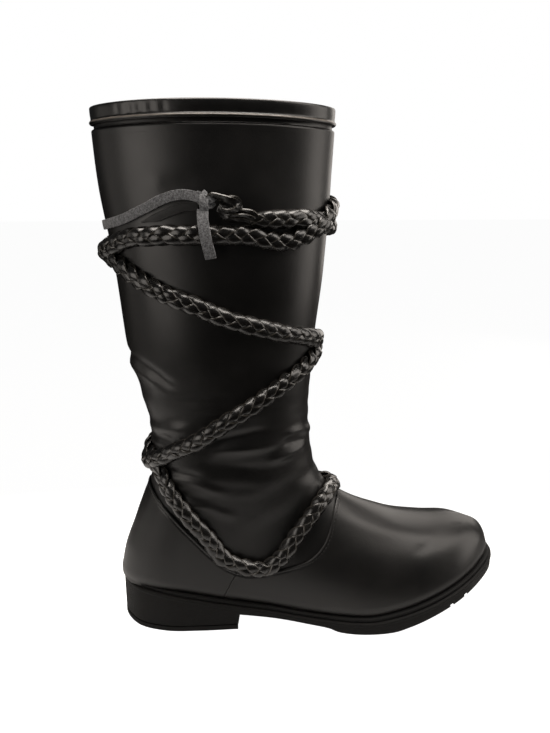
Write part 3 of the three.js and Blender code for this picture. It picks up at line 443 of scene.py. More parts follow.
def place(at, turn, offset=0.0):
    """Points of the upper: at from 0, the toe, to 1, the collar; turn in radians through the outer side."""
    at, turn, offset = np.broadcast_arrays(np.asarray(at, float), np.asarray(turn, float),
                                           np.asarray(offset, float))
    t = np.minimum(at, 1.0)
    front, back, front_to, back_to, grow = section_ends(t, offset)
    length = np.linalg.norm(front - back, axis=-1)
    share = ((1.0 + np.cos(turn)) / 2.0)[..., None]
    side = np.where(np.sin(turn) < 0, 1.0, -1.0)
    on = back + (front - back) * share
    moved = back_to + (front_to - back_to) * share
    share, grow = share[..., 0], grow[..., 0]
    reach = side_reach(side, on[..., 0], on[..., 1], (1.0 - share) * length, crown_of(t) * length,
                       full_of(t))
    widest = np.maximum(np.abs(plan_of(side, on[..., 0])), COLLAR_WIDTH / 4)
    dip = COLLAR_DIP * smooth_step(0.75, 1.0, t) * np.cos(turn) ** 2
    middle = middle_line(on[..., 0]) * (1.0 - smooth_step(60.0, FOOT_HEIGHT, on[..., 1]))
    return np.stack([moved[..., 0], middle + side * reach * (1.0 + grow / widest),
                     moved[..., 1] - dip + (at - t) * COLLAR_HEIGHT], axis=-1)


def side_view(x, z, offset):
    """The place and the turn, on the outer side, that the side view shows at x and z."""
    low, high = np.zeros(len(x)), np.full(len(x), 0.8)
    offset = np.full(len(x), offset)
    for _ in range(32):
        at = (low + high) / 2
        _, _, front, back, _ = section_ends(at, offset)
        ray = front - back
        above = ray[:, 0] * (z - back[:, 1]) > ray[:, 1] * (x - back[:, 0])
        low, high = np.where(above, at, low), np.where(above, high, at)
    share = ((x - back[:, 0]) * ray[:, 0] + (z - back[:, 1]) * ray[:, 1]) / np.sum(ray * ray, axis=1)
    return np.stack([at, np.arccos(np.clip(2.0 * share - 1.0, -1.0, 1.0))], axis=1)


def at_of_height(z, turn, offset=0.0):
    """Where the surface reaches a height, at a turn round the shaft."""
    z, turn = np.broadcast_arrays(np.asarray(z, float), np.asarray(turn, float))
    low, high = np.full(z.shape, 0.3), np.full(z.shape, 1.0)
    for _ in range(30):
        middle = (low + high) / 2
        under = place(middle, turn, offset)[..., 2] < z
        low, high = np.where(under, middle, low), np.where(under, high, middle)
    return (low + high) / 2


def crossing(measure, turns, low, high, last):
    """The first or the last place, from low to high, where measure(at, turn) rises through 0."""
    steps = np.linspace(0.0, 1.0, 181)[:, None]
    at = low + (high - low) * steps + np.zeros(len(turns))
    above = measure(at, np.broadcast_to(turns, at.shape)) > 0
    if last:
        index = at.shape[0] - 1 - np.argmax(~above[::-1], axis=0)
    else:
        index = np.maximum(np.argmax(above, axis=0) - 1, 0)
    index = np.clip(index, 0, at.shape[0] - 2)
    columns = np.arange(at.shape[1])
    a, b = at[index, columns], at[index + 1, columns]
    for _ in range(24):
        middle = (a + b) / 2
        over = measure(middle, turns) > 0
        a, b = np.where(over, a, middle), np.where(over, middle, b)
    return (a + b) / 2


def edge_places(turns, lift, offset=0.0):
    """Where each column of the upper leaves the sole's edge, raised by lift."""
    def measure(at, turn):
        p = place(at, turn, offset)
        return p[..., 2] - edge_top(p[..., 0]) - lift
    return crossing(measure, turns, 0.0, 0.8, last=True)


def galosh_line():
    line = even_spline([(along_x(a), b * FOOT_HEIGHT) for a, b in GALOSH_LINE])(np.linspace(0, 1, 600))
    return np.vstack([[along_x(-0.3), FOOT_HEIGHT * 1.03], line, [along_x(1.2), FOOT_HEIGHT]])


GALOSH_POINTS = galosh_line()


def galosh_height(x):
    return np.interp(x, GALOSH_POINTS[:, 0], GALOSH_POINTS[:, 1])


def galosh_places(turns, offset, start):
    """Where each column passes the top line of the vamp and the counter."""
    def measure(at, turn):
        p = place(at, turn, offset)
        return p[..., 2] - galosh_height(p[..., 0])
    return crossing(measure, turns, start + 0.01, 0.85, last=False)


def by_turn(places):
    """A line round the boot, worked out once and then read at any turn."""
    fine = np.linspace(0.0, 2 * math.pi, 1441)
    values = places(fine)
    return lambda turns: np.interp(np.mod(turns, 2 * math.pi), fine, values)


GALOSH_OFFSET = GAP + OVERLAY
low_edge = by_turn(lambda turns: edge_places(turns, GAP))
galosh_low = by_turn(lambda turns: edge_places(turns, GAP, GALOSH_OFFSET))
galosh_top = by_turn(lambda turns: galosh_places(turns, GALOSH_OFFSET, galosh_low(turns)))


def even_turns(count, low_at, high_at, first=0.0, last=2 * math.pi):
    """Turns that spread count columns evenly over the surface between two lines."""
    fine = np.linspace(first, last, 1441)
    low, high = low_at(fine), high_at(fine)
    total = np.zeros(len(fine))
    for share in (0.0, 0.15, 0.35, 0.6, 1.0):
        steps = lengths_along(place(low + (high - low) * share, fine))
        total += steps / steps[-1]
    return np.interp(np.linspace(0.0, total[-1], count + 1), total, fine)


# Creases of the leather

# Turn and height of each crease's points, then its height and half width in millimetres.
CREASES = (
    (((190, 158), (160, 160), (146, 161.4), (128, 163.5), (112, 167)), 1.0, 4.2),
    (((178, 152), (150, 153.5), (130, 155.5)), -0.8, 4.0),
    (((186, 146.6), (160, 148), (150, 148.7), (142, 145.6)), 0.9, 3.4),
    (((112, 153), (98, 155.7), (84, 159.1), (72, 161.2), (58, 161.2)), -1.1, 4.0),
    (((110, 147), (98, 148.6), (76, 149.2), (58, 151), (44, 153)), 0.9, 4.2),
    (((116, 136), (104, 135.9), (88, 134.1), (70, 130.2), (56, 128)), -1.0, 7.0),
    (((-14, 150.5), (8, 152.5), (36, 156.5), (58, 157)), 0.9, 3.4),
    (((24, 147.5), (40, 149.5), (54, 150)), -0.8, 3.0),
    (((14, 144), (30, 142.5), (54, 139.6), (68, 135.8)), 0.9, 3.6),
    (((156, 124), (142, 123.8), (118, 123.3), (98, 115.8), (86, 111)), 0.85, 3.2),
    (((160, 129), (140, 129), (118, 128), (104, 124)), -0.7, 3.0),
    (((136, 107), (124, 105.5), (102, 102.3), (88, 96), (78, 92)), 0.7, 3.4),
    (((134, 113), (118, 113), (100, 109)), -0.55, 3.2),
    (((200, 214), (184, 214), (156, 211.3), (140, 205.8), (128, 199.2), (116, 193)), -1.3, 3.8),
    (((196, 206), (176, 206), (158, 204.5), (144, 200), (130, 193.5)), 0.9, 4.2),
    (((210, 176), (186, 178), (160, 180), (140, 181)), 0.55, 7.0),
    (((188, 190), (160, 191), (140, 190)), -0.45, 7.0),
    (((96, 180), (84, 200), (76, 214)), -0.5, 9.0),
    (((118, 372), (118, 350.9), (118, 335.7), (118, 322)), 0.8, 6.5),
    (((104, 366), (103, 345), (104, 325)), -0.5, 8.0),
    (((34, 92), (34, 79.9), (34, 71), (32, 65.1), (36, 61.7), (36, 60.5)), 0.5, 7.0),
    (((54, 55.5), (46, 58.2), (44, 59.0), (38, 60.4)), -0.45, 4.2),
    (((60, 50), (54, 53.2), (48, 56.0), (42, 58.6)), 0.4, 4.6),
)
# The same kind of folds on the side that the photo does not show.
HIDDEN_CREASES = (
    (((196, 158), (214, 161), (236, 164), (256, 160)), 0.9, 4.2),
    (((206, 150), (228, 152), (250, 151)), -0.8, 4.0),
    (((250, 155), (268, 158), (286, 161), (304, 161)), -1.0, 4.2),
    (((252, 147), (270, 148), (292, 150), (318, 153)), 0.9, 4.2),
    (((246, 135), (264, 134), (286, 131), (304, 129)), -0.9, 6.5),
    (((204, 124), (226, 123.5), (248, 118), (268, 112)), 0.8, 3.4),
    (((232, 107), (256, 103), (272, 97)), 0.6, 3.6),
    (((300, 144), (322, 142), (340, 143.5)), 0.7, 3.6),
    (((204, 213), (226, 207), (244, 199)), -0.8, 4.2),
    (((316, 60.5), (314, 66), (318, 74)), 0.4, 6.0),
    (((306, 58), (312, 59.5)), -0.5, 3.2),
)


def crease_lines():
    lines = []
    for points, height, width in CREASES + HIDDEN_CREASES:
        turns = np.radians([p[0] for p in points])
        at = np.array([at_in_foot(p[1], turn) for p, turn in zip(points, turns)])
        path = rope_curve(np.stack([np.degrees(turns) * 0.75, at * 600.0], axis=1), per_span=8)
        lines.append((place(path[:, 1] / 600.0, np.radians(path[:, 0] / 0.75)), height, width))
    return lines


def at_in_foot(z, turn):
    """Like at_of_height, and on the foot the place nearest the shaft at that height."""
    at = np.linspace(0.06, 1.0, 2000)
    heights = place(at, np.full(at.shape, turn))[:, 2]
    rises = np.nonzero((heights[:-1] < z) & (heights[1:] >= z))[0]
    return at[rises[-1]] if len(rises) else at[np.argmin(np.abs(heights - z))]


def distance_to_line(points, line):
    """Distance of each point to a line of points, and the share of the line's length there."""
    best = np.full(len(points), 1e9)
    share = np.zeros(len(points))
    lengths = lengths_along(line)
    for k in range(len(line) - 1):
        a, ab = line[k], line[k + 1] - line[k]
        t = np.clip((points - a) @ ab / max(ab @ ab, 1e-9), 0.0, 1.0)
        d = np.linalg.norm(points - a - t[:, None] * ab, axis=1)
        near = d < best
        best = np.where(near, d, best)
        share = np.where(near, (lengths[k] + t * (lengths[k + 1] - lengths[k])) / lengths[-1], share)
    return best, share


CREASE_LINES = crease_lines()
CREASE_DEPTH = 1.35


def leather_relief(points):
    """How far creases, dents and the leather's own unevenness lift each point."""
    flat = points.reshape(-1, 3)
    total = np.zeros(len(flat))
    for line, height, width in CREASE_LINES:
        centre = line.mean(axis=0)
        radius = np.linalg.norm(line - centre, axis=1).max() + 3 * width
        near = np.nonzero(np.linalg.norm(flat - centre, axis=1) < radius)[0]
        if len(near) == 0:
            continue
        distance, share = distance_to_line(flat[near], line)
        ends = smooth_step(0.0, 0.28, share) * smooth_step(0.0, 0.28, 1.0 - share)
        total[near] += CREASE_DEPTH * height * ends * np.exp(-(distance / width) ** 2)
    wave = np.array([noise.noise(Vector(p) * 0.022) for p in flat])
    ripple = np.array([noise.noise(Vector((p[0] * 0.035, p[1] * 0.035, p[2] * 0.11 + 7.0))) for p in flat])
    ankle = smooth_step(88.0, 125.0, flat[:, 2]) * (1.0 - smooth_step(165.0, 235.0, flat[:, 2]))
    total += 0.55 * wave * smooth_step(45.0, 110.0, flat[:, 2]) + 0.12 * wave + 0.7 * ripple * ankle
    return total.reshape(points.shape[:-1])


# Meshes

def new_piece(name, bm, material, *more):
    mesh = bpy.data.meshes.new(name)
    bm.to_mesh(mesh)
    bm.free()
    piece = bpy.data.objects.new(name, mesh)
    bpy.context.scene.collection.objects.link(piece)
    for m in (material, *more):
        mesh.materials.append(m)
    return piece


def shade(piece, angle=38.0):
    """Smooth faces that meet at less than the angle."""
    piece.data.polygons.foreach_set("use_smooth", [True] * len(piece.data.polygons))
    piece.data.set_sharp_from_angle(angle=math.radians(angle))


def apply_modifiers(piece):
    bpy.context.view_layer.update()
    shaped = bpy.data.meshes.new_from_object(piece.evaluated_get(bpy.context.evaluated_depsgraph_get()))
    piece.modifiers.clear()
    old = piece.data
    shaped.name = old.name
    piece.data = shaped
    bpy.data.meshes.remove(old)


def grid_mesh(points, uv=None, merge=0.00001, lined=None):
    """A grid bent to rows of points in millimetres; rows or columns that meet are joined.

    The faces between the two rows named by lined take the second material.
    """
    rows, columns = points.shape[0] - 1, points.shape[1] - 1
    bm = bmesh.new()
    layer = bm.loops.layers.uv.new("UVMap") if uv is not None else None
    bmesh.ops.create_grid(bm, x_segments=columns, y_segments=rows, size=1.0)
    places = {}
    for v in bm.verts:
        i = round((v.co.x + 1.0) / 2.0 * columns)
        j = round((v.co.y + 1.0) / 2.0 * rows)
        places[v.index] = (j, i)
        v.co = Vector(points[j, i]) * MM
    if layer is not None:
        for face in bm.faces:
            for loop in face.loops:
                loop[layer].uv = uv[places[loop.vert.index]]
    if lined is not None:
        for face in bm.faces:
            rows_met = [places[v.index][0] for v in face.verts]
            if lined[0] <= min(rows_met) and max(rows_met) <= lined[1]:
                face.material_index = 1
    bmesh.ops.remove_doubles(bm, verts=bm.verts, dist=merge)
    return bm


def close_and_turn_out(bm):
    """Fills open ends and turns all faces outwards."""
    bmesh.ops.holes_fill(bm, edges=[e for e in bm.edges if e.is_boundary], sides=0)
    bmesh.ops.recalc_face_normals(bm, faces=bm.faces)
    return bm


def ride(piece, *nodes, slot):
    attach(piece, "root")
    if nodes:
        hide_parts(*nodes)
    return piece


# Materials

def sockets(group, ins, outs):
    for name, value in ins:
        socket = group.interface.new_socket(name=name, in_out="INPUT", socket_type="NodeSocketFloat")
        socket.default_value = value
    for name, kind in outs:
        group.interface.new_socket(name=name, in_out="OUTPUT", socket_type=kind)


def math_node(nodes, links, kind, a, b, clamp=False):
    node = nodes.new("ShaderNodeMath")
    node.operation = kind
    node.use_clamp = clamp
    for socket, value in ((node.inputs[0], a), (node.inputs[1], b)):
        if isinstance(value, (int, float)):
            socket.default_value = value
        else:
            links.new(value, socket)
    return node.outputs[0]


def make_grain_group():
    """Leather grain: small pebbles between fine creases, cloudy patches, and worn spots."""
    group = bpy.data.node_groups.new("leather grain", "ShaderNodeTree")
    sockets(group, [("Pebble Scale", 900.0), ("Cloud Scale", 28.0)],
            [("Height", "NodeSocketFloat"), ("Clouds", "NodeSocketFloat"), ("Wear", "NodeSocketFloat")])
    nodes, links = group.nodes, group.links
    given, out = nodes.new("NodeGroupInput"), nodes.new("NodeGroupOutput")
    where = nodes.new("ShaderNodeTexCoord").outputs["Object"]
    pebbles = nodes.new("ShaderNodeTexVoronoi")
    pebbles.feature = "DISTANCE_TO_EDGE"
    links.new(where, pebbles.inputs["Vector"])
    links.new(given.outputs["Pebble Scale"], pebbles.inputs["Scale"])
    fine = nodes.new("ShaderNodeTexNoise")
    fine.inputs["Detail"].default_value = 4.0
    links.new(where, fine.inputs["Vector"])
    links.new(math_node(nodes, links, "MULTIPLY", given.outputs["Pebble Scale"], 0.45), fine.inputs["Scale"])
    clouds = nodes.new("ShaderNodeTexNoise")
    clouds.inputs["Detail"].default_value = 3.0
    clouds.inputs["Roughness"].default_value = 0.55
    links.new(where, clouds.inputs["Vector"])
    links.new(given.outputs["Cloud Scale"], clouds.inputs["Scale"])
    wear_and_highlight = nodes.new("ShaderNodeTexNoise")
    wear_and_highlight.inputs["Scale"].default_value = 75.0
    wear_and_highlight.inputs["Detail"].default_value = 6.0
    wear_and_highlight.inputs["Roughness"].default_value = 0.7
    links.new(where, wear_and_highlight.inputs["Vector"])
    edges = math_node(nodes, links, "MULTIPLY", pebbles.outputs["Distance"], 2.2, clamp=True)
    height = math_node(nodes, links, "ADD", math_node(nodes, links, "MULTIPLY", edges, 0.55),
                       math_node(nodes, links, "MULTIPLY", fine.outputs["Fac"], 0.45))
    links.new(height, out.inputs["Height"])
    links.new(clouds.outputs["Fac"], out.inputs["Clouds"])
    spots = math_node(nodes, links, "SUBTRACT", wear_and_highlight.outputs["Fac"], 0.58)
    links.new(math_node(nodes, links, "MULTIPLY", spots, 5.0, clamp=True), out.inputs["Wear"])
    return group


def make_nap_group():
    """Short nap: soft mottling and a fine fuzz."""
    group = bpy.data.node_groups.new("nap", "ShaderNodeTree")
    sockets(group, [("Fuzz Scale", 1500.0)],
            [("Height", "NodeSocketFloat"), ("Mottle", "NodeSocketFloat")])
    nodes, links = group.nodes, group.links
    given, out = nodes.new("NodeGroupInput"), nodes.new("NodeGroupOutput")
    where = nodes.new("ShaderNodeTexCoord").outputs["Object"]
    fuzz = nodes.new("ShaderNodeTexNoise")
    fuzz.inputs["Detail"].default_value = 5.0
    fuzz.inputs["Roughness"].default_value = 0.75
    links.new(where, fuzz.inputs["Vector"])
    links.new(given.outputs["Fuzz Scale"], fuzz.inputs["Scale"])
    mottle = nodes.new("ShaderNodeTexNoise")
    mottle.inputs["Detail"].default_value = 4.0
    links.new(where, mottle.inputs["Vector"])
    links.new(math_node(nodes, links, "MULTIPLY", given.outputs["Fuzz Scale"], 0.5), mottle.inputs["Scale"])
    links.new(fuzz.outputs["Fac"], out.inputs["Height"])
    links.new(mottle.outputs["Fac"], out.inputs["Mottle"])
    return group


GRAIN = make_grain_group()
NAP = make_nap_group()


def start_material(name, display):
    material = bpy.data.materials.new(name)
    material.use_nodes = True
    material.diffuse_color = (*display, 1.0)
    nodes, links = material.node_tree.nodes, material.node_tree.links
    shader = nodes["Principled BSDF"]
    return material, nodes, links, shader


def mix_colour(nodes, links, factor, dark, light):
    """A colour between two, by a mask."""
    mix = nodes.new("ShaderNodeMix")
    mix.data_type = "RGBA"
    mix.inputs["A"].default_value = (*dark, 1.0)
    mix.inputs["B"].default_value = (*light, 1.0)
    links.new(factor, mix.inputs["Factor"])
    return mix.outputs["Result"]


def ramp(nodes, links, factor, low, high, at_low=0.0, at_high=1.0):
    """A value that goes from low to high while the factor goes from at_low to at_high."""
    node = nodes.new("ShaderNodeMapRange")
    node.inputs["From Min"].default_value = at_low
    node.inputs["From Max"].default_value = at_high
    node.inputs["To Min"].default_value = low
    node.inputs["To Max"].default_value = high
    links.new(factor, node.inputs["Value"])
    return node.outputs["Result"]


def add_bump(nodes, links, shader, height, strength, distance):
    bump = nodes.new("ShaderNodeBump")
    bump.inputs["Strength"].default_value = strength
    bump.inputs["Distance"].default_value = distance
    links.new(height, bump.inputs["Height"])
    links.new(bump.outputs["Normal"], shader.inputs["Normal"])


def leather_material(name, dark, light, rough, coat, pebble=900.0, bump=0.12):
    """Smooth leather: a dark dye with faint clouds, small worn spots, and a fine grain."""
    material, nodes, links, shader = start_material(name, dark)
    grain = nodes.new("ShaderNodeGroup")
    grain.node_tree = GRAIN
    grain.inputs["Pebble Scale"].default_value = pebble
    clouds = ramp(nodes, links, grain.outputs["Clouds"], 0.0, 1.0, 0.3, 0.7)
    links.new(mix_colour(nodes, links, clouds, dark, light), shader.inputs["Base Color"])
    roughness = math_node(nodes, links, "ADD",
                          ramp(nodes, links, grain.outputs["Clouds"], rough[0], rough[1], 0.3, 0.7),
                          math_node(nodes, links, "MULTIPLY", grain.outputs["Wear"], 0.06))
    links.new(roughness, shader.inputs["Roughness"])
    shader.inputs["Coat Weight"].default_value = coat
    shader.inputs["Coat Roughness"].default_value = 0.3
    add_bump(nodes, links, shader, grain.outputs["Height"], bump, 0.0003)
    return material


def strip_material(name, dark, light, edge, rough, coat=0.25):
    """Leather strips with their cut edges painted lighter, partly the edges' own colour and partly a painted
    highlight along them; the UV map runs across each strip.
    """
    material, nodes, links, shader = start_material(name, dark)
    grain = nodes.new("ShaderNodeGroup")
    grain.node_tree = GRAIN
    grain.inputs["Pebble Scale"].default_value = 1300.0
    grain.inputs["Cloud Scale"].default_value = 160.0
    across = nodes.new("ShaderNodeSeparateXYZ")
    links.new(nodes.new("ShaderNodeUVMap").outputs["UV"], across.inputs[0])
    colour = nodes.new("ShaderNodeMix")
    colour.data_type = "RGBA"
    links.new(mix_colour(nodes, links, grain.outputs["Clouds"], dark, light), colour.inputs["A"])
    # Colour B goes on the cut edges: partly their own lighter colour, partly a painted highlight; on the
    # band a painted highlight along the bead.
    colour.inputs["B"].default_value = (*edge, 1.0)
    cut = ramp(nodes, links, across.outputs["X"], 0.0, 1.0, 0.5, 1.0)
    uneven = ramp(nodes, links, grain.outputs["Clouds"], 0.55, 1.0, 0.35, 0.6)
    links.new(math_node(nodes, links, "MULTIPLY", cut, uneven), colour.inputs["Factor"])
    links.new(colour.outputs["Result"], shader.inputs["Base Color"])
    links.new(ramp(nodes, links, grain.outputs["Clouds"], rough[0], rough[1], 0.3, 0.7),
              shader.inputs["Roughness"])
    shader.inputs["Coat Weight"].default_value = coat
    shader.inputs["Coat Roughness"].default_value = 0.2
    add_bump(nodes, links, shader, grain.outputs["Height"], 0.2, 0.0003)
    return material


def nap_material(name, dark, light, fuzz=1500.0, bump=0.6, sheen=0.35):
    """Suede or felt."""
    material, nodes, links, shader = start_material(name, dark)
    nap = nodes.new("ShaderNodeGroup")
    nap.node_tree = NAP
    nap.inputs["Fuzz Scale"].default_value = fuzz
    mask = math_node(nodes, links, "ADD",
                     math_node(nodes, links, "MULTIPLY", nap.outputs["Mottle"], 0.5),
                     math_node(nodes, links, "MULTIPLY", nap.outputs["Height"], 0.5))
    links.new(mix_colour(nodes, links, ramp(nodes, links, mask, 0.0, 1.0, 0.40, 0.60), dark, light),
              shader.inputs["Base Color"])
    shader.inputs["Roughness"].default_value = 0.95
    shader.inputs["Specular IOR Level"].default_value = 0.25
    shader.inputs["Sheen Weight"].default_value = sheen
    shader.inputs["Sheen Roughness"].default_value = 0.5
    add_bump(nodes, links, shader, nap.outputs["Height"], bump, 0.0005)
    return material


def rubber_material(name, dark, light, rough):
    """Matt moulded rubber with a fine texture and a little dust."""
    material, nodes, links, shader = start_material(name, dark)
    grain = nodes.new("ShaderNodeGroup")
    grain.node_tree = GRAIN
    grain.inputs["Pebble Scale"].default_value = 1100.0
    grain.inputs["Cloud Scale"].default_value = 60.0
    mask = math_node(nodes, links, "ADD",
                     ramp(nodes, links, grain.outputs["Clouds"], 0.0, 0.6, 0.35, 0.7),
                     math_node(nodes, links, "MULTIPLY", grain.outputs["Wear"], 0.35), clamp=True)
    links.new(mix_colour(nodes, links, mask, dark, light), shader.inputs["Base Color"])
    links.new(ramp(nodes, links, grain.outputs["Clouds"], rough, rough + 0.12, 0.3, 0.7),
              shader.inputs["Roughness"])
    shader.inputs["Specular IOR Level"].default_value = 0.2
    add_bump(nodes, links, shader, grain.outputs["Height"], 0.7, 0.0005)
    return material


UPPER_LEATHER = leather_material("upper leather", (0.0026, 0.0024, 0.0023), (0.0050, 0.0044, 0.0040),
                                 (0.36, 0.44), 0.15)
# The third colour of each strip leather goes on its cut edges: on cord and tie partly their own colour,
# partly a painted highlight; on the band a painted highlight along the bead.
CORD_LEATHER = strip_material("cord leather", (0.0024, 0.0022, 0.0020), (0.010, 0.009, 0.008),
                              (0.050, 0.045, 0.038), (0.20, 0.30), coat=0.5)
TIE_LEATHER = strip_material("tie leather", (0.0024, 0.0023, 0.0023), (0.006, 0.0055, 0.0052),
                             (0.05, 0.049, 0.048), (0.50, 0.60), coat=0.0)
BAND_LEATHER = strip_material("band leather", (0.0026, 0.0024, 0.0023), (0.0050, 0.0044, 0.0040),
                              (0.17, 0.15, 0.13), (0.30, 0.38), coat=0.2)
SUEDE = nap_material("suede", (0.085, 0.087, 0.093), (0.29, 0.295, 0.305), bump=0.8)
LINING = nap_material("lining", (0.010, 0.0095, 0.009), (0.02, 0.019, 0.018), fuzz=900.0, bump=0.3,
                      sheen=0.15)
SOLE_RUBBER = rubber_material("sole rubber", (0.0038, 0.0037, 0.0036), (0.0090, 0.0087, 0.0083), 0.60)
WELT_RUBBER = rubber_material("welt rubber", (0.0045, 0.0045, 0.0045), (0.0090, 0.0090, 0.0090), 0.62)
THREAD = nap_material("thread", (0.012, 0.012, 0.012), (0.03, 0.029, 0.028), fuzz=2600.0, bump=0.4,
                      sheen=0.2)


# The upper

def at_of_front_height(z):
    """The place at which the upper's front reaches a height, which is the same all round."""
    at = np.linspace(0.5, 1.0, 4001)
    return float(np.interp(z, front_curve(at)[:, 1], at))


def make_upper():
    """One hollow wall from the sole to the collar, with its lining."""
    turns = even_turns(210, low_edge, lambda t: np.ones(len(t)))
    low = low_edge(turns)
    step = at_of_front_height(BAND_STEP)
    foot = low + (0.62 - low) * np.linspace(0.0, 1.0, 100)[:, None]
    shaft = np.concatenate([np.linspace(0.62, step - 0.006, 121)[1:], step + np.linspace(-0.0062, 0.0004, 9),
                            np.linspace(step, 1.0, 6)[1:]])
    outer_at = np.concatenate([foot, shaft[:, None] + np.zeros(len(turns))])
    base = place(outer_at, turns)
    skin = place(outer_at, turns, leather_relief(base) * (1.0 - smooth_step(0.93, 0.955, outer_at)))
    inner_shares = np.linspace(1.0, 0.0, 61)[:, None]
    inner = place(low + (1.0 - low) * inner_shares, turns, -WALL)
    rows = np.concatenate([skin, inner, skin[:1]])
    bm = grid_mesh(rows, lined=(len(skin), len(skin) + len(inner) - 1))
    bmesh.ops.recalc_face_normals(bm, faces=bm.faces)
    piece = new_piece("boot_upper", bm, UPPER_LEATHER, LINING)
    shade(piece)
    return ride(piece, "upper", slot="upper_leather")


def seam_length(z):
    line = even_spline([(along_x(a), b * FOOT_HEIGHT) for a, b in SIDE_SEAM])(np.linspace(0, 1, 200))
    return np.interp(z, line[::-1, 1], line[::-1, 0])


def even_path(path, count, offset):
    """A path of places and turns in count steps of even length over the surface."""
    lengths = lengths_along(place(path[:, 0], path[:, 1], offset))
    wanted = np.linspace(0.0, lengths[-1], count + 1)
    return np.stack([np.interp(wanted, lengths, path[:, k]) for k in (0, 1)], axis=1)


def solve(measure, low, high):
    """Where a rising measure passes 0."""
    for _ in range(40):
        middle = (low + high) / 2
        low, high = (low, middle) if measure(middle) > 0 else (middle, high)
    return (low + high) / 2


def seam_path(shift):
    """The side seam, from the sole up to the top line."""
    low = solve(lambda z: z - float(edge_top(seam_length(z) + shift)) - GAP, 5.0, 40.0)
    high = solve(lambda z: z - float(galosh_height(seam_length(z) + shift)), 20.0, 62.0)
    z = np.linspace(low, high, 60)
    return side_view(seam_length(z) + shift, z, GALOSH_OFFSET)


def top_path(shift, turn):
    """The top line from the side seam to the middle of the front or the back."""
    seam = place(*seam_path(shift)[-1], GALOSH_OFFSET)
    middle_at = float(galosh_top(np.array([turn]))[0])
    end = place(middle_at, turn, GALOSH_OFFSET)
    x = np.linspace(seam[0], end[0], 500)[:-1]
    path = side_view(x, galosh_height(x), GALOSH_OFFSET)
    return np.vstack([path, [middle_at, turn]])


def low_path(shift, turn):
    """The line over the sole from the side seam to the middle of the front or the back."""
    turns = np.linspace(seam_path(shift)[0, 1], turn, 500)
    return np.stack([galosh_low(turns), turns], axis=1)


def patch(low, high, left, right):
    """Places and turns between four edges."""
    s = np.linspace(0.0, 1.0, len(low))[None, :, None]
    v = np.linspace(0.0, 1.0, len(left))[:, None, None]
    corners = ((1 - s) * (1 - v) * low[0] + s * (1 - v) * low[-1] + (1 - s) * v * high[0] + s * v * high[-1])
    return (1 - v) * low + v * high + (1 - s) * left[:, None] + s * right[:, None] - corners


def denser_at_top(grid, rows, extra=11):
    """The rows of a grid, with the last few drawn closer together."""
    shares = np.concatenate([np.linspace(0.0, 0.93, rows), np.linspace(0.93, 1.0, extra)[1:]])
    index = shares * (len(grid) - 1)
    low = np.minimum(index.astype(int), len(grid) - 2)
    part = (index - low)[:, None, None]
    return grid[low] * (1 - part) + grid[low + 1] * part


def galosh_grid(shift, turn, columns, rows):
    """Places and turns over the vamp or the counter, from the outer to the inner seam."""
    seam = even_path(seam_path(shift), 200, GALOSH_OFFSET)
    low = even_path(low_path(shift, turn), columns, GALOSH_OFFSET)
    high = even_path(top_path(shift, turn), columns, GALOSH_OFFSET)
    middle = np.stack([np.linspace(low[-1, 0], high[-1, 0], 400), np.full(400, turn)], axis=1)
    middle = even_path(middle, 200, GALOSH_OFFSET)
    outer = patch(low, high, seam, middle)
    inner = outer[:, ::-1] * (1.0, -1.0) + (0.0, 2 * turn)
    return denser_at_top(np.concatenate([outer, inner[:, 1:]], axis=1), rows)


def from_the_top(points):
    """How far each point of a grid lies from the grid's last row, along its column."""
    steps = np.linalg.norm(np.diff(points, axis=0), axis=2)
    return np.concatenate([np.cumsum(steps[::-1], axis=0)[::-1], np.zeros((1, points.shape[1]))])


def make_galosh_piece(name, node, grid):
    """The vamp or the counter: the skin, turned down at its top edge, with a row of stitches."""
    at, turns = grid[..., 0], grid[..., 1]
    relief = leather_relief(place(at, turns))
    away = from_the_top(place(at, turns, GALOSH_OFFSET))
    turned_down = 0.75 * (1.0 - np.clip(away / 1.2, 0.0, 1.0)) ** 2
    edge = -turned_down - 0.3 * np.exp(-((away - STITCH_INSET) / 0.6) ** 2)
    points = place(at, turns, GALOSH_OFFSET + relief + edge)
    bm = grid_mesh(points)
    bmesh.ops.recalc_face_normals(bm, faces=bm.faces)
    piece = new_piece(name, bm, UPPER_LEATHER)
    wall = piece.modifiers.new("leather", "SOLIDIFY")
    wall.thickness = (OVERLAY - 0.1) * MM
    wall.offset = -1.0
    apply_modifiers(piece)
    shade(piece, 50.0)
    row = np.array([[np.interp(-STITCH_INSET, -away[:, c], points[:, c, k]) for k in range(3)]
                    for c in range(points.shape[1])])
    _, normals = surface_frame(np.degrees(turns[-1]), at[-1])
    stitch_row(name.replace("leather", "stitches"), row + normals * 0.08, normals)
    return ride(piece, node, slot="upper_leather")


STITCH_INSET = 2.6


def make_vamp():
    return make_galosh_piece("vamp_leather", "vamp", galosh_grid(SEAM_GAP / 2, 0.0, 84, 118))


def make_counter():
    return make_galosh_piece("counter_leather", "counter", galosh_grid(-SEAM_GAP / 2, math.pi, 56, 74))


# Height under the collar's edge, offset of the band's face, and a painted highlight, strongest on the bead's
# crest, from its lower edge to its inside.
BAND_PROFILE = (
    (13.2, 0.35, 0.0), (13.25, 1.7, 0.0), (12.9, 2.2, 0.0), (12.3, 2.55, 0.2), (11.7, 2.6, 0.8),
    (11.2, 2.35, 1.0), (10.8, 1.95, 0.8), (10.4, 1.55, 0.2), (9.9, 1.4, 0.0), (9.0, 1.42, 0.0),
    (7.0, 1.55, 0.0), (4.5, 1.6, 0.0), (2.2, 1.55, 0.0), (1.0, 1.4, 0.1), (0.3, 1.05, 0.1),
    (0.0, 0.6, 0.0), (0.05, 0.3, 0.0),
)
# Where gathers cross the band: turn in degrees and depth.
BAND_GATHERS = ((112, 0.35), (118, 0.45), (124, 0.5), (130, 0.45), (137, 0.3), (244, 0.3), (251, 0.35))


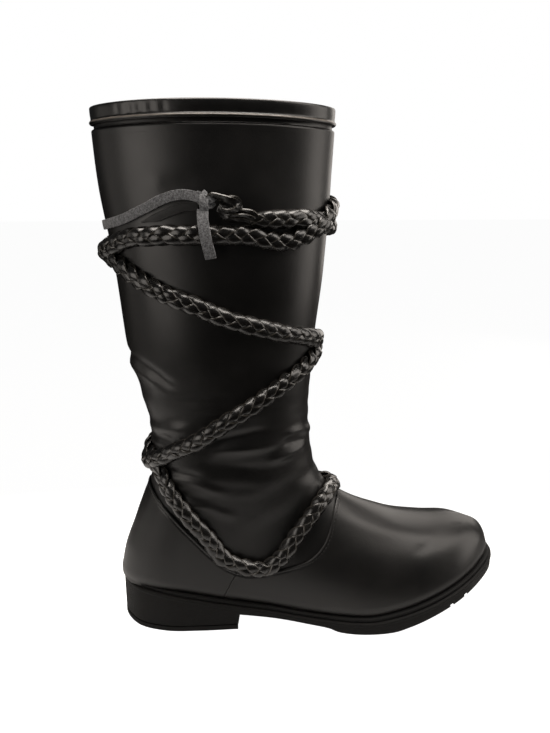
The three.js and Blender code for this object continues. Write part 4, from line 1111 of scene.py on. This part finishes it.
def make_band():
    """The band round the top edge: a bead along its lower edge and a rolled top."""
    turns = np.linspace(0.0, 2 * math.pi, 301)
    at_low = at_of_height(COLLAR_HEIGHT - BAND_HEIGHT - 0.4, 0.0)
    share = np.array([(BAND_HEIGHT - row[0]) / BAND_HEIGHT for row in BAND_PROFILE])
    at = float(at_low) + (1.0 - float(at_low)) * share
    offsets = np.array([row[1] for row in BAND_PROFILE])[:, None]
    base = place(at[:, None], turns[None, :])
    middle = smooth_step(0.2, 0.35, share) * (1.0 - smooth_step(0.7, 0.95, share))
    gathers = np.zeros(base.shape[:2])
    for degrees, depth in BAND_GATHERS:
        away = np.degrees(turns) - degrees
        gathers -= depth * np.exp(-(away / 1.5) ** 2) * middle[:, None]
    wave = np.array([[noise.noise(Vector(p) * 0.06) for p in row] for row in base])
    points = place(at[:, None], turns[None, :], offsets + gathers + 0.25 * wave * (offsets > 1.2))
    # The third column paints a highlight along the bead's crest and a faint one on the rolled top.
    wear_and_highlight = np.array([row[2] for row in BAND_PROFILE])[:, None] * np.ones(len(turns))
    lengths = np.broadcast_to(np.linspace(0.0, 4.0, len(turns)), wear_and_highlight.shape)
    uv = np.stack([wear_and_highlight, lengths], axis=2)
    bm = grid_mesh(np.concatenate([points, points[:1]]), np.concatenate([uv, uv[:1]]))
    bmesh.ops.recalc_face_normals(bm, faces=bm.faces)
    piece = new_piece("collar_band", bm, BAND_LEATHER)
    shade(piece, 60.0)
    return ride(piece, "top_band", slot="upper_leather")


# The sole

def side_tables():
    """The outer and the inner edge of the sole as widths at a length."""
    ring = np.roll(OUTLINE[:-1], -np.argmin(OUTLINE[:, 0]), axis=0)
    tip = np.argmax(ring[:, 0])
    inner, outer = ring[:tip + 1], np.vstack([ring[tip:], ring[:1]])[::-1]
    return inner, outer


INNER_SIDE, OUTER_SIDE = side_tables()


def stations(first, last, count, extra=()):
    """Lengths along the sole, close together where its ends round off."""
    low, high = OUTLINE[:, 0].min(), OUTLINE[:, 0].max()
    angle = np.linspace(0.0, math.pi, count + 1)
    x = (low + high) / 2 - (high - low) / 2 * np.cos(angle)
    x = np.concatenate([x[(x >= first) & (x <= last)], [max(first, low), min(last, high)], extra])
    return np.unique(np.round(x, 4))


def side_points(x):
    """For each length, the outer and the inner edge points."""
    inner = np.stack([x, np.interp(x, INNER_SIDE[:, 0], INNER_SIDE[:, 1])], axis=1)
    outer = np.stack([x, np.interp(x, OUTER_SIDE[:, 0], OUTER_SIDE[:, 1])], axis=1)
    return outer, inner


def inward(points, sign):
    ahead = unit(np.gradient(points, axis=0))
    return sign * np.stack([ahead[:, 1], -ahead[:, 0]], axis=1)


def slab_mesh(x, low, high, low_rows, high_rows, across=10):
    """A slab with the sole's outline. The rows give inset and height at the lower and the upper edge."""
    outer, inner = side_points(x)
    out_dir, in_dir = inward(outer, -1.0), inward(inner, 1.0)
    z_low, z_high = low(x), high(x)
    sides = []
    for edge, direction in ((outer, out_dir), (inner, in_dir)):
        rows = [np.column_stack([edge + direction * inset, z_low + up]) for inset, up in low_rows]
        rows += [np.column_stack([edge + direction * inset, z_high - down]) for inset, down in high_rows]
        sides.append(rows)
    outer_rows, inner_rows = sides
    shares = np.linspace(0.0, 1.0, across + 1)[1:-1]
    under = [outer_rows[0] + (inner_rows[0] - outer_rows[0]) * s for s in shares]
    over = [inner_rows[-1] + (outer_rows[-1] - inner_rows[-1]) * s for s in shares]
    loop = outer_rows[::-1] + under + inner_rows + over
    loop.append(loop[0])
    return grid_mesh(np.stack(loop, axis=1), merge=0.00002)


BREAST = along_x(HEEL_LENGTH / SOLE_LENGTH)
UNDERSIDE_LINE = even_spline([(along_x(a), b) for a, b in UNDERSIDE])(np.linspace(0, 1, 300))


def sole_under(x):
    floor = LIFT_THICKNESS + GAP
    line = np.vstack([[along_x(-0.1), floor], [BREAST, floor], [BREAST + 1.2, BREAST_HEIGHT],
                      UNDERSIDE_LINE])
    return np.interp(x, line[:, 0], line[:, 1])


def cut_with(piece, boxes):
    """Cuts grooves with boxes, each given by its centre, size and slope in millimetres and radians."""
    bm = bmesh.new()
    for centre, size, slope in boxes:
        made = bmesh.ops.create_cube(bm, size=1.0)["verts"]
        bmesh.ops.scale(bm, vec=Vector(size) * MM, verts=made)
        bmesh.ops.rotate(bm, cent=(0, 0, 0), matrix=Matrix.Rotation(slope, 3, "Y"), verts=made)
        bmesh.ops.translate(bm, vec=Vector(centre) * MM, verts=made)
    cutter = new_piece("groove_cutter", bm, SOLE_RUBBER)
    cut = piece.modifiers.new("tread", "BOOLEAN")
    cut.operation = "DIFFERENCE"
    cut.object = cutter
    cut.solver = "EXACT"
    apply_modifiers(piece)
    bpy.data.objects.remove(cutter)


def width_inside(x, margin):
    outer, inner = side_points(np.array([x]))
    return outer[0, 1] + margin, inner[0, 1] - margin


def groove(x, z, height, slope=0.0, margin=TREAD_MARGIN):
    low, high = width_inside(x, margin)
    return ((x, (low + high) / 2, z), (TREAD_WIDTH, high - low, height), slope)


def make_outsole():
    low_rows = ((1.3, 0.0), (0.45, 0.35), (0.05, 1.1))
    high_rows = ((0.0, 3.6), (0.0, 2.9), (-0.25, 2.4), (-0.35, 1.5), (-0.2, 0.6), (0.35, 0.1), (1.0, 0.0),
                 (6.0, 0.0))
    at_breast = (BREAST - 0.6, BREAST, BREAST + 0.3, BREAST + 0.6, BREAST + 1.2)
    x = stations(along_x(-0.1), along_x(1.1), 250, at_breast)
    bm = slab_mesh(x, sole_under, lambda s: edge_top(s) - WELT_THICKNESS - GAP, low_rows, high_rows)
    bmesh.ops.recalc_face_normals(bm, faces=bm.faces)
    piece = new_piece("rubber_outsole", bm, SOLE_RUBBER)
    boxes = []
    at = along_x(0.5)
    while at < along_x(0.97):
        under = max(float(sole_under(at)), 0.0)
        slope = math.atan2(float(sole_under(at + 2) - sole_under(at - 2)), 4.0)
        if abs(at - along_x(0.62)) >= 4.0:
            wide = -8.0 if along_x(0.82) < at < along_x(0.9) else TREAD_MARGIN
            boxes.append(groove(at, under, 2 * TREAD_DEPTH, -slope, wide))
        at += TREAD_PITCH
    cut_with(piece, boxes)
    shade(piece, 35.0)
    return ride(piece, "outsole", slot="sole_rubber")


def make_top_lift():
    x = stations(along_x(-0.1), BREAST - 0.2, 250)
    rows = ((0.9, 0.0), (0.2, 0.35), (0.0, 0.9))
    bm = slab_mesh(x, lambda s: np.zeros(len(s)), lambda s: np.full(len(s), LIFT_THICKNESS), rows,
                   ((0.0, 0.8), (0.25, 0.2), (0.8, 0.0)), across=8)
    close_and_turn_out(bm)
    piece = new_piece("heel_lift", bm, SOLE_RUBBER)
    cut_with(piece, [groove(g, 0.0, 3.0) for g in LIFT_GROOVES])
    shade(piece, 35.0)
    return ride(piece, "top_lift", slot="sole_rubber")


def make_welt():
    """The dark strip in the joint between the upper and the sole."""
    count = 420
    profile = ((2.2, -2.8), (1.6, -2.3), (1.6, -0.7), (2.1, -0.15), (3.0, 0.0), (12.0, 0.0), (12.0, -2.8),
               (2.2, -2.8))
    columns = []
    for inset, down in profile:
        ring = outline_ring(inset, count)
        ring = np.vstack([ring, ring[:1]])
        columns.append(np.column_stack([ring, edge_top(ring[:, 0]) + down]))
    bm = grid_mesh(np.stack(columns, axis=0))
    bmesh.ops.recalc_face_normals(bm, faces=bm.faces)
    piece = new_piece("joint_strip", bm, WELT_RUBBER)
    shade(piece, 50.0)
    return ride(piece, "welt", slot="welt_rubber")


# The plaited cord

def cord_rows(half):
    def along(rows, base, direction):
        return [(base + direction * turn, z, lift) for turn, z, lift in rows]
    rows = (along(CORD_LOW, 0, 1) + list(half["ankle_back"]) + along(CORD_RISING, 360, -1)
            + list(half["shin_front"]) + along(CORD_HIGH, 360, 1) + list(half["calf_back"])
            + list(half["last"]))
    return [(half["sign"] * turn, z, lift * CROSSING_LIFT) for turn, z, lift in rows]


def surface_frame(turn, at):
    """Places on the upper at turns in degrees, with outward normals."""
    angle, step = np.radians(turn), 0.004
    on = place(at, angle)
    round_ = place(at, angle + 10 * step) - place(at, angle - 10 * step)
    up = place(np.minimum(at + step, 1.0), angle) - place(at - step, angle)
    return on, unit(np.cross(up, round_))


def route_on_upper(rows, thickness, spacing):
    """A strip's centre line over the upper, with its directions along, across and outwards."""
    turns = np.array([row[0] for row in rows], float)
    at = at_of_height(np.array([row[1] for row in rows], float), np.radians(turns))
    knots = np.column_stack([turns * 0.75, at * 600.0, [row[2] for row in rows]])
    line = rope_curve(knots)
    count = max(6, round(lengths_along(line)[-1] / spacing))
    line = spaced(line, count)
    on, normal = surface_frame(line[:, 0] / 0.75, line[:, 1] / 600.0)
    centre = on + normal * (line[:, 2] + thickness / 2)[:, None]
    lengths = lengths_along(centre)
    even = np.linspace(0.0, lengths[-1], max(8, round(lengths[-1] / spacing)) + 1)
    centre = np.stack([np.interp(even, lengths, centre[:, k]) for k in range(3)], axis=1)
    normal = unit(np.stack([np.interp(even, lengths, normal[:, k]) for k in range(3)], axis=1))
    for _ in range(3):
        normal[1:-1] = unit(normal[:-2] + 2 * normal[1:-1] + normal[2:])
    ahead = unit(np.gradient(centre, axis=0))
    across = unit(np.cross(ahead, normal))
    return centre, ahead, across, unit(np.cross(across, ahead)), even


# A flat strip's section: place across it, place through it, and 1 on the cut edges, which are painted
# lighter, partly as a painted highlight.
STRIP_SECTION = (
    (-1.0, 0.55, 1.0), (-0.93, 1.0, 1.0), (-0.86, 1.0, 0.0), (-0.4, 1.12, 0.0), (0.0, 1.15, 0.0),
    (0.4, 1.12, 0.0), (0.86, 1.0, 0.0), (0.93, 1.0, 1.0), (1.0, 0.55, 1.0), (1.0, -0.7, 1.0),
    (0.9, -1.0, 0.0), (-0.9, -1.0, 0.0), (-1.0, -0.7, 1.0), (-1.0, 0.55, 1.0),
)


# The plait's domed section in the same columns; its last column spreads the painted edge highlight over the
# strands' sides and shoulders.
ROUND_SECTION = (
    (-1.0, 0.1, 0.8), (-0.94, 0.62, 1.0), (-0.84, 0.92, 0.9), (-0.6, 1.25, 0.35), (-0.3, 1.5, 0.0),
    (0.0, 1.58, 0.0), (0.3, 1.5, 0.0), (0.6, 1.25, 0.35), (0.84, 0.92, 0.9), (0.94, 0.62, 1.0),
    (1.0, 0.1, 0.8), (0.97, -0.6, 0.4), (0.8, -1.0, 0.0), (-0.8, -1.0, 0.0), (-0.97, -0.6, 0.4),
    (-1.0, 0.1, 0.8),
)


def sweep(centre, across, out, width, thickness, section=STRIP_SECTION):
    """A strip along a centre line. width and thickness may change along it."""
    count = len(centre)
    width = np.broadcast_to(width, (count,)) / 2
    thickness = np.broadcast_to(thickness, (count,)) / 2
    points = np.empty((count, len(section), 3))
    uv = np.empty((count, len(section), 2))
    lengths = lengths_along(centre)
    for k, (a, b, edge) in enumerate(section):
        points[:, k] = centre + across * (a * width)[:, None] + out * (b * thickness)[:, None]
        uv[:, k, 0] = edge
        uv[:, k, 1] = lengths * 0.01
    return points, uv


def strip_bmesh(points, uv):
    return close_and_turn_out(grid_mesh(points, uv, merge=0.000002))


def join_meshes(name, parts, material, *more):
    """One piece from several meshes."""
    whole = bmesh.new()
    for bm in parts:
        mesh = bpy.data.meshes.new("part")
        bm.to_mesh(mesh)
        bm.free()
        whole.from_mesh(mesh)
        bpy.data.meshes.remove(mesh)
    return new_piece(name, whole, material, *more)


PLAIT_PITCH = 30.0
STRAND_WIDTH = 6.8
STRAND_THICKNESS = 1.7
PLAIT_SWING = 4.0
PLAIT_RISE = 1.35
PLAIT_DOME = 1.5
PLAIT_ROLL = 0.82


def plait_strands(centre, across, out, lengths, seed):
    """Three flat strips laid over and under each other along a route, drawn together at its far end."""
    parts = []
    left = lengths[-1] - lengths
    gather = 0.35 + 0.65 * smooth_step(0.0, 14.0, left)
    loose = np.array([[noise.noise(Vector((s * 0.09, seed, k * 5.0))) for s in lengths] for k in range(4)])
    for strand in range(3):
        phase = 2 * math.pi * lengths / PLAIT_PITCH + strand * 2 * math.pi / 3 + 0.5 * loose[3]
        swing = PLAIT_SWING * np.sin(phase) * gather
        rise = PLAIT_RISE * np.sin(2 * phase) - PLAIT_DOME * np.sin(phase) ** 2 + 0.4
        line = centre + across * swing[:, None] + out * (rise * gather)[:, None]
        along = unit(np.gradient(line, axis=0))
        roll = PLAIT_ROLL * np.sin(phase - 0.3) + 0.5 * loose[strand]
        facing = out * np.cos(roll)[:, None] + across * np.sin(roll)[:, None]
        facing = unit(facing - along * np.sum(facing * along, axis=1, keepdims=True))
        sideways = unit(np.cross(along, facing))
        width = STRAND_WIDTH * (0.75 + 0.25 * gather) * (1.0 + 0.12 * loose[(strand + 1) % 3])
        parts.append(strip_bmesh(*sweep(line, sideways, facing, width, STRAND_THICKNESS, ROUND_SECTION)))
    return parts


def make_cord():
    """The two halves of the plaited cord, from the instep round the ankle and the calf."""
    over_foot = GAP + OVERLAY + GAP
    parts = []
    for half in (OUTER_FIRST, INNER_FIRST):
        rows = []
        for turn, z, lift in cord_rows(half):
            off_foot = float(smooth_step(114.0, 124.0, z))
            rows.append((turn, z, over_foot + (PLAIT_CLEARANCE - over_foot) * off_foot + lift))
        centre, _, across, out, lengths = route_on_upper(rows, PLAIT_THICKNESS, 1.3)
        parts += plait_strands(centre, across, out, lengths, half["sign"])
    piece = join_meshes("cord_strands", parts, CORD_LEATHER)
    shade(piece, 32.0)
    return ride(piece, "plaited_cord", slot="cord_leather")


# Ties and knots

def make_tie(name, node, rows, material, slot, width=TIE_WIDTH, thickness=TIE_THICKNESS, narrow=0.0):
    """A flat strip over the upper, which may narrow in its last 12 mm."""
    centre, _, across, out, lengths = route_on_upper(rows, thickness, 1.0)
    uneven = 1.0 + 0.05 * np.array([noise.noise(Vector((s * 0.25, 3.0, 0.0))) for s in lengths])
    uneven *= 1.0 - narrow * smooth_step(lengths[-1] - 12.0, lengths[-1], lengths)
    points, uv = sweep(centre, across, out, width * uneven, thickness)
    piece = new_piece(name, strip_bmesh(points, uv), material)
    shade(piece, 50.0)
    ride(piece, node, slot=slot)
    return piece, centre


def local_frame(at_spot):
    """A frame on the upper: round the boot, up it and outwards, and a function that places points."""
    at = at_of_height(at_spot["z"], math.radians(at_spot["turn"]))
    on, normal = surface_frame(np.array([at_spot["turn"]]), np.array([float(at)]))
    on, normal = on[0], normal[0]
    up = unit(np.array([0.0, 0.0, 1.0]) - normal * normal[2])
    round_ = np.cross(up, normal)

    def put(points):
        p = np.array(points, float)
        return on + p[:, :1] * round_ + p[:, 1:2] * up + p[:, 2:] * normal
    return put, round_, up, normal


def free_strip(put, normal, points, width, thickness, twist=0.0, spacing=0.8):
    """A strip through points in a local frame, which starts flat and twists along the way."""
    line = put(rope_curve(points, per_span=20))
    line = spaced(line, max(10, round(lengths_along(line)[-1] / spacing)))
    ahead = unit(np.gradient(line, axis=0))
    out = unit(normal - ahead * np.sum(normal * ahead, axis=1, keepdims=True))
    across = unit(np.cross(ahead, out))
    angle = np.linspace(0.0, 1.0, len(line)) * twist if np.isscalar(twist) else np.interp(
        np.linspace(0.0, 1.0, len(line)), np.linspace(0.0, 1.0, len(twist)), twist)
    turned = out * np.cos(angle)[:, None] + across * np.sin(angle)[:, None]
    sideways = unit(np.cross(ahead, turned))
    return strip_bmesh(*sweep(line, sideways, turned, width, thickness))


# Each strip of the knots: its points round, up and out from the knot's spot, its width, and its twists.
SMOOTH_STRIPS = (
    (((-15.4, 3.4, 4.2), (-12.2, 5.2, 4.6), (-6.1, 4.0, 6.2), (-0.5, 2.2, 6.8), (3.6, -0.2, 6.0),
      (4.4, -3.6, 4.4), (0.6, -4.6, 3.6), (-4.4, -3.2, 3.4), (-8.6, -1.8, 4.4)),
     4.6, (0.5, 0.75, 0.85, 0.5, -0.2, -0.6, -0.3, 0.4, 0.3)),
    (((-8.8, -2.6, 3.6), (-5.4, -4.0, 5.2), (-1.0, -4.2, 6.2), (3.0, -2.4, 6.6), (4.2, 1.2, 5.4),
      (1.4, 3.4, 3.6), (-3.0, 3.2, 2.6), (-6.6, 0.6, 2.4)),
     4.0, (0.2, 0.7, 0.9, 0.6, 0.1, -0.5, -0.6, -0.2)),
    (((0.4, -2.6, 3.0), (4.0, -4.4, 3.6), (8.0, -4.6, 4.2), (12.6, -5.6, 4.6), (15.4, -8.6, 4.2),
      (17.4, -11.4, 3.6)),
     4.4, (0.5, 0.6, 0.75, 0.5, 0.3, 0.2)),
    (((-5.0, -5.0, 2.2), (-1.0, -7.2, 3.6), (4.0, -7.4, 4.4), (8.6, -7.4, 4.2), (12.6, -9.0, 4.4),
      (15.6, -11.6, 4.0)),
     4.0, (0.1, 0.5, 0.8, 0.7, 0.5, 0.2)),
    (((-7.0, -6.2, 1.6), (-3.4, -8.8, 2.6), (1.2, -9.8, 3.4), (6.0, -10.0, 3.6), (10.0, -10.8, 3.4),
      (13.6, -12.4, 3.0)),
     3.6, (0.0, 0.3, 0.7, 0.5, 0.6, 0.3)),
)
SUEDE_STRIPS = (
    (((-6.2, 3.6, 1.8), (-3.4, 2.6, 3.4), (-0.6, 1.2, 5.0), (2.4, 1.2, 5.2), (4.4, 2.8, 3.0)),
     5.6, (0.0, 0.15, 0.2, 0.1, 0.0)),
    (((-2.6, 4.6, 1.8), (-1.6, 3.4, 4.6), (-1.4, 0.4, 6.2), (-1.6, -2.6, 6.4), (-1.5, -5.6, 5.8)),
     5.6, (0.0, -0.2, -0.1, 0.05, 0.0)),
    (((3.8, -1.4, 1.6), (2.4, -2.6, 3.6), (-0.8, -2.2, 4.8), (-3.6, -0.2, 2.4)),
     4.6, (0.2, 0.4, 0.4, 0.2)),
)


def make_knot(name, node, spot, strips, thickness, material, slot, angle):
    put, _, _, normal = local_frame(spot)
    parts = [free_strip(put, normal, points, width, thickness, twists) for points, width, twists in strips]
    piece = join_meshes(name, parts, material)
    shade(piece, angle)
    return ride(piece, node, slot=slot)


# Stitches

def stitch_row(name, line, normals, pitch=2.9, length=2.1, radius=0.28):
    """Short threads along a line of points."""
    lengths = lengths_along(line)
    middles = np.arange(pitch, lengths[-1] - pitch, pitch)
    centre = np.stack([np.interp(middles, lengths, line[:, k]) for k in range(3)], axis=1)
    normal = unit(np.stack([np.interp(middles, lengths, normals[:, k]) for k in range(3)], axis=1))
    ahead = np.stack([np.interp(middles + 0.5, lengths, line[:, k]) for k in range(3)], axis=1) - centre
    ahead = unit(ahead)
    across = unit(np.cross(ahead, normal))
    bm = bmesh.new()
    for c, n, a, s in zip(centre, normal, ahead, across):
        made = bmesh.ops.create_icosphere(bm, subdivisions=1, radius=1.0)["verts"]
        for v in made:
            local = np.array(v.co)
            v.co = Vector(c + a * local[0] * length / 2 + s * local[1] * radius + n * local[2] * radius) * MM
    piece = new_piece(name, bm, THREAD)
    shade(piece, 80.0)
    return ride(piece, slot="upper_leather")


# Everything in place

def make_floor():
    """A floor that glows evenly white to the camera, so it shows no horizon, with a painted pool of light
    under the boot: white near it, fading to black and glowing faintly, so that it lights the boot's lower
    parts and shows in them.
    """
    bm = bmesh.new()
    bmesh.ops.create_grid(bm, x_segments=1, y_segments=1, size=6.0)
    material, nodes, links, shader = start_material("studio floor", (0.9, 0.9, 0.9))
    where = nodes.new("ShaderNodeMapping")
    where.inputs["Location"].default_value = (0.02, 0.0, 0.0)
    where.inputs["Scale"].default_value = (0.45, 1.0, 1.0)
    links.new(nodes.new("ShaderNodeTexCoord").outputs["Object"], where.inputs["Vector"])
    away = nodes.new("ShaderNodeVectorMath")
    away.operation = "LENGTH"
    links.new(where.outputs["Vector"], away.inputs[0])
    # Painted pool of light: white near the boot, fading to black 9 to 23 cm out.
    near = ramp(nodes, links, away.outputs["Value"], 1.0, 0.02, 0.09, 0.23)
    painted_light_pool = mix_colour(nodes, links, near, (0.0, 0.0, 0.0), (0.66, 0.66, 0.66))
    links.new(painted_light_pool, shader.inputs["Base Color"])
    # The painted pool also glows faintly, a painted light that lights the boot from below.
    links.new(painted_light_pool, shader.inputs["Emission Color"])
    shader.inputs["Emission Strength"].default_value = 0.12
    shader.inputs["Roughness"].default_value = 0.8
    shader.inputs["Specular IOR Level"].default_value = 0.1
    seen = nodes.new("ShaderNodeEmission")
    seen.inputs["Strength"].default_value = 0.97
    both = nodes.new("ShaderNodeAddShader")
    links.new(shader.outputs["BSDF"], both.inputs[0])
    links.new(seen.outputs["Emission"], both.inputs[1])
    path = nodes.new("ShaderNodeLightPath")
    mix = nodes.new("ShaderNodeMixShader")
    links.new(path.outputs["Is Camera Ray"], mix.inputs["Fac"])
    links.new(shader.outputs["BSDF"], mix.inputs[1])
    links.new(both.outputs["Shader"], mix.inputs[2])
    links.new(mix.outputs["Shader"], nodes["Material Output"].inputs["Surface"])
    floor = new_piece("floor", bm, material)
    floor.location.z = -0.0004


def make_ties():
    """Both knots with their ties and the hanging end."""
    suede_tie, line = make_tie("thong_round_calf", "suede_tie", ((96.4, 322.0, 3.0), *SUEDE_TIE), SUEDE,
                               "suede")
    tail, _ = make_tie("thong_hanging_end", "suede_tail", SUEDE_TAIL, SUEDE, "suede", width=7.2)
    smooth_tie, _ = make_tie("black_tie", "smooth_tie", SMOOTH_TIE, TIE_LEATHER, "cord_leather",
                             width=5.6, narrow=0.75)
    smooth_knot = make_knot("black_knot", "smooth_knot", SMOOTH_KNOT, SMOOTH_STRIPS, 1.4, CORD_LEATHER,
                            "cord_leather", 32.0)
    suede_knot = make_knot("thong_knot", "suede_knot", SUEDE_KNOT, SUEDE_STRIPS, 1.7, SUEDE, "suede", 50.0)


def line_insole():
    """The insole's own solid shows, covered as the lining is."""
    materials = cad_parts["insole"].data.materials
    if len(materials):
        materials[0] = LINING
    else:
        materials.append(LINING)


make_floor()
make_cord()
make_ties()
make_upper()
make_vamp()
make_counter()
make_band()
make_outsole()
make_top_lift()
make_welt()
line_insole()
